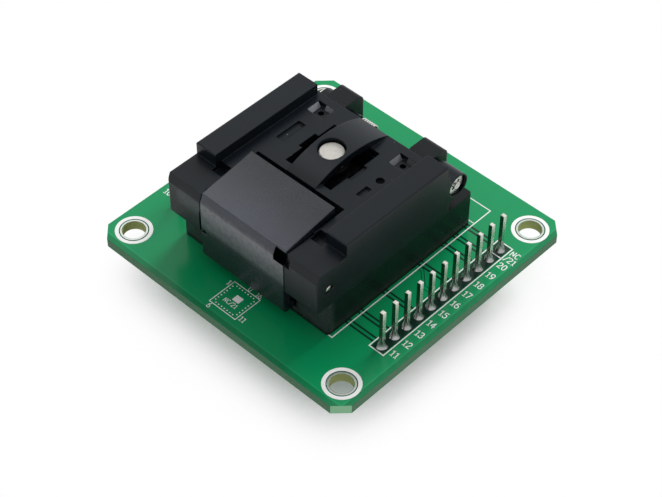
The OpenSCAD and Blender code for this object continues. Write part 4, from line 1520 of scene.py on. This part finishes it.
@dataclass
class Studio:
    """White floor, camera and lamps: a soft key behind the part and a weak lamp above the left."""

    eye: Point = (128.188, -135.853, 202.132)
    right: Point = (0.72443, 0.68934, 0.003136)
    up: Point = (-0.503065, 0.525552, 0.686091)
    back: Point = (0.471302, -0.498602, 0.727509)
    lens: float = 100.04
    film: float = 36.0
    clip: Span = (0.005, 10.0)
    white: Colour = (1.0, 1.0, 1.0)
    sky_level: float = 0.5
    floor_tint: Colour = (0.93, 0.935, 0.93)
    floor_z: float = -0.00005
    floor_half: float = 1.5
    shade_reach: float = 0.03
    shade_span: Span = (0.0, 0.82)
    card_tint: Colour = (0.06, 0.06, 0.06)
    card_far: float = 0.36
    card_half: float = 0.14
    lamps: tuple[Lamp, ...] = (
        Lamp("lamp_key", (-0.05, 0.45, 0.24), 0.22, 2.8, (1.0, 0.995, 0.98), False),
        Lamp("lamp_left", (-0.3, 0.034, 0.42), 0.14, 0.17, (0.98, 0.99, 1.0), True),
    )

    def build(self) -> None:
        """Builds the stage in order."""
        self.floor()
        self.card()
        self.sky()
        for lamp in self.lamps:
            lamp.build()
        self.camera()

    @staticmethod
    def seen(g: Graph) -> Sock:
        """1 for rays from the camera, and for those that metal or glass send on."""
        kinds = ("Camera", "Glossy", "Transmission")
        rays = [g.node("ShaderNodeLightPath", out=f"Is {kind} Ray") for kind in kinds]
        return rays[0].highest(rays[1]).highest(rays[2])

    def floor(self) -> None:
        """Wide floor just below the pin tips, white where it is open and shaded under the board."""
        g = Graph.material("studio_floor")
        lit = g.node("ShaderNodeBsdfDiffuse", None, {"Color": self.floor_tint})
        white = g.node("ShaderNodeEmission", None, {"Color": self.white, "Strength": 1.0})
        reach = {"Distance": self.shade_reach}
        clear = g.node("ShaderNodeAmbientOcclusion", {"samples": 12}, reach, "AO")
        share = self.seen(g) * clear.step(*self.shade_span)
        g.output(g.node("ShaderNodeMixShader", None, {0: share, 1: lit, 2: white}))
        axes = ((1.0, 0.0, 0.0), (0.0, 1.0, 0.0))
        self.plane("studio_floor", (0.0, 0.0, self.floor_z), axes, self.floor_half, g.owner)

    def card(self) -> None:
        """Dark backdrop behind the camera, which only mirrors see."""
        g = Graph.material("studio_card")
        g.output(g.node("ShaderNodeBsdfDiffuse", None, {"Color": self.card_tint}))
        centre = times(self.back, self.card_far)
        made = self.plane("studio_card", centre, (self.right, self.up), self.card_half, g.owner)
        made.visible_camera = made.visible_diffuse = made.visible_shadow = False

    @staticmethod
    def plane(name: str, centre: Point, axes: tuple[Point, Point], half: float, material: Any) -> Any:
        """Square of the stage.

        Args:
            name: name of the piece.
            centre: its middle in metres.
            axes: directions of its edges.
            half: half its edge length.
            material: its finish.

        Returns:
            The object.
        """
        u = half * np.array([-1.0, 1.0, 1.0, -1.0])[:, None]
        v = half * np.array([-1.0, -1.0, 1.0, 1.0])[:, None]
        points = np.array(centre) + u * np.array(axes[0]) + v * np.array(axes[1])
        mesh = bpy.data.meshes.new(name)
        mesh.from_pydata(points.tolist(), [], [(0, 1, 2, 3)])
        mesh.materials.append(material)
        made = linked(name, mesh)
        return made

    def sky(self) -> None:
        """Even white surround: a plain level for light, white where it is seen."""
        world = bpy.data.worlds.new("studio_surround")
        bpy.context.scene.world = world
        g = Graph(world)
        level = self.sky_level + (1 - self.sky_level) * self.seen(g)
        g.output(g.node("ShaderNodeBackground", None, {"Color": self.white, "Strength": level}))

    def camera(self) -> None:
        """Camera at the photograph's viewing angle."""
        data = bpy.data.cameras.new("camera")
        data.lens = self.lens
        data.sensor_width = self.film
        data.sensor_fit = "HORIZONTAL"
        data.clip_start, data.clip_end = self.clip
        axes = (self.right, self.up, self.back)
        bpy.context.scene.camera = posed("camera", data, axes, np.array(self.eye) * MM)


def main() -> None:
    """Builds the scene in order."""
    logging.basicConfig(level=logging.INFO, format="%(name)s: %(message)s")
    bpy.context.scene.view_settings.view_transform = "Standard"
    finishes = Finishes()
    board = CircuitBoard(finishes)
    assemblies = (
        board,
        HeaderRows(finishes, board),
        SocketBase(finishes),
        Hinge(finishes),
        Lid(finishes),
        Latch(finishes),
        PressurePad(finishes),
        Studio(),
    )
    for assembly in assemblies:
        LOG.info("building %s", type(assembly).__name__)
        assembly.build()


if __name__ == "__main__":
    main()
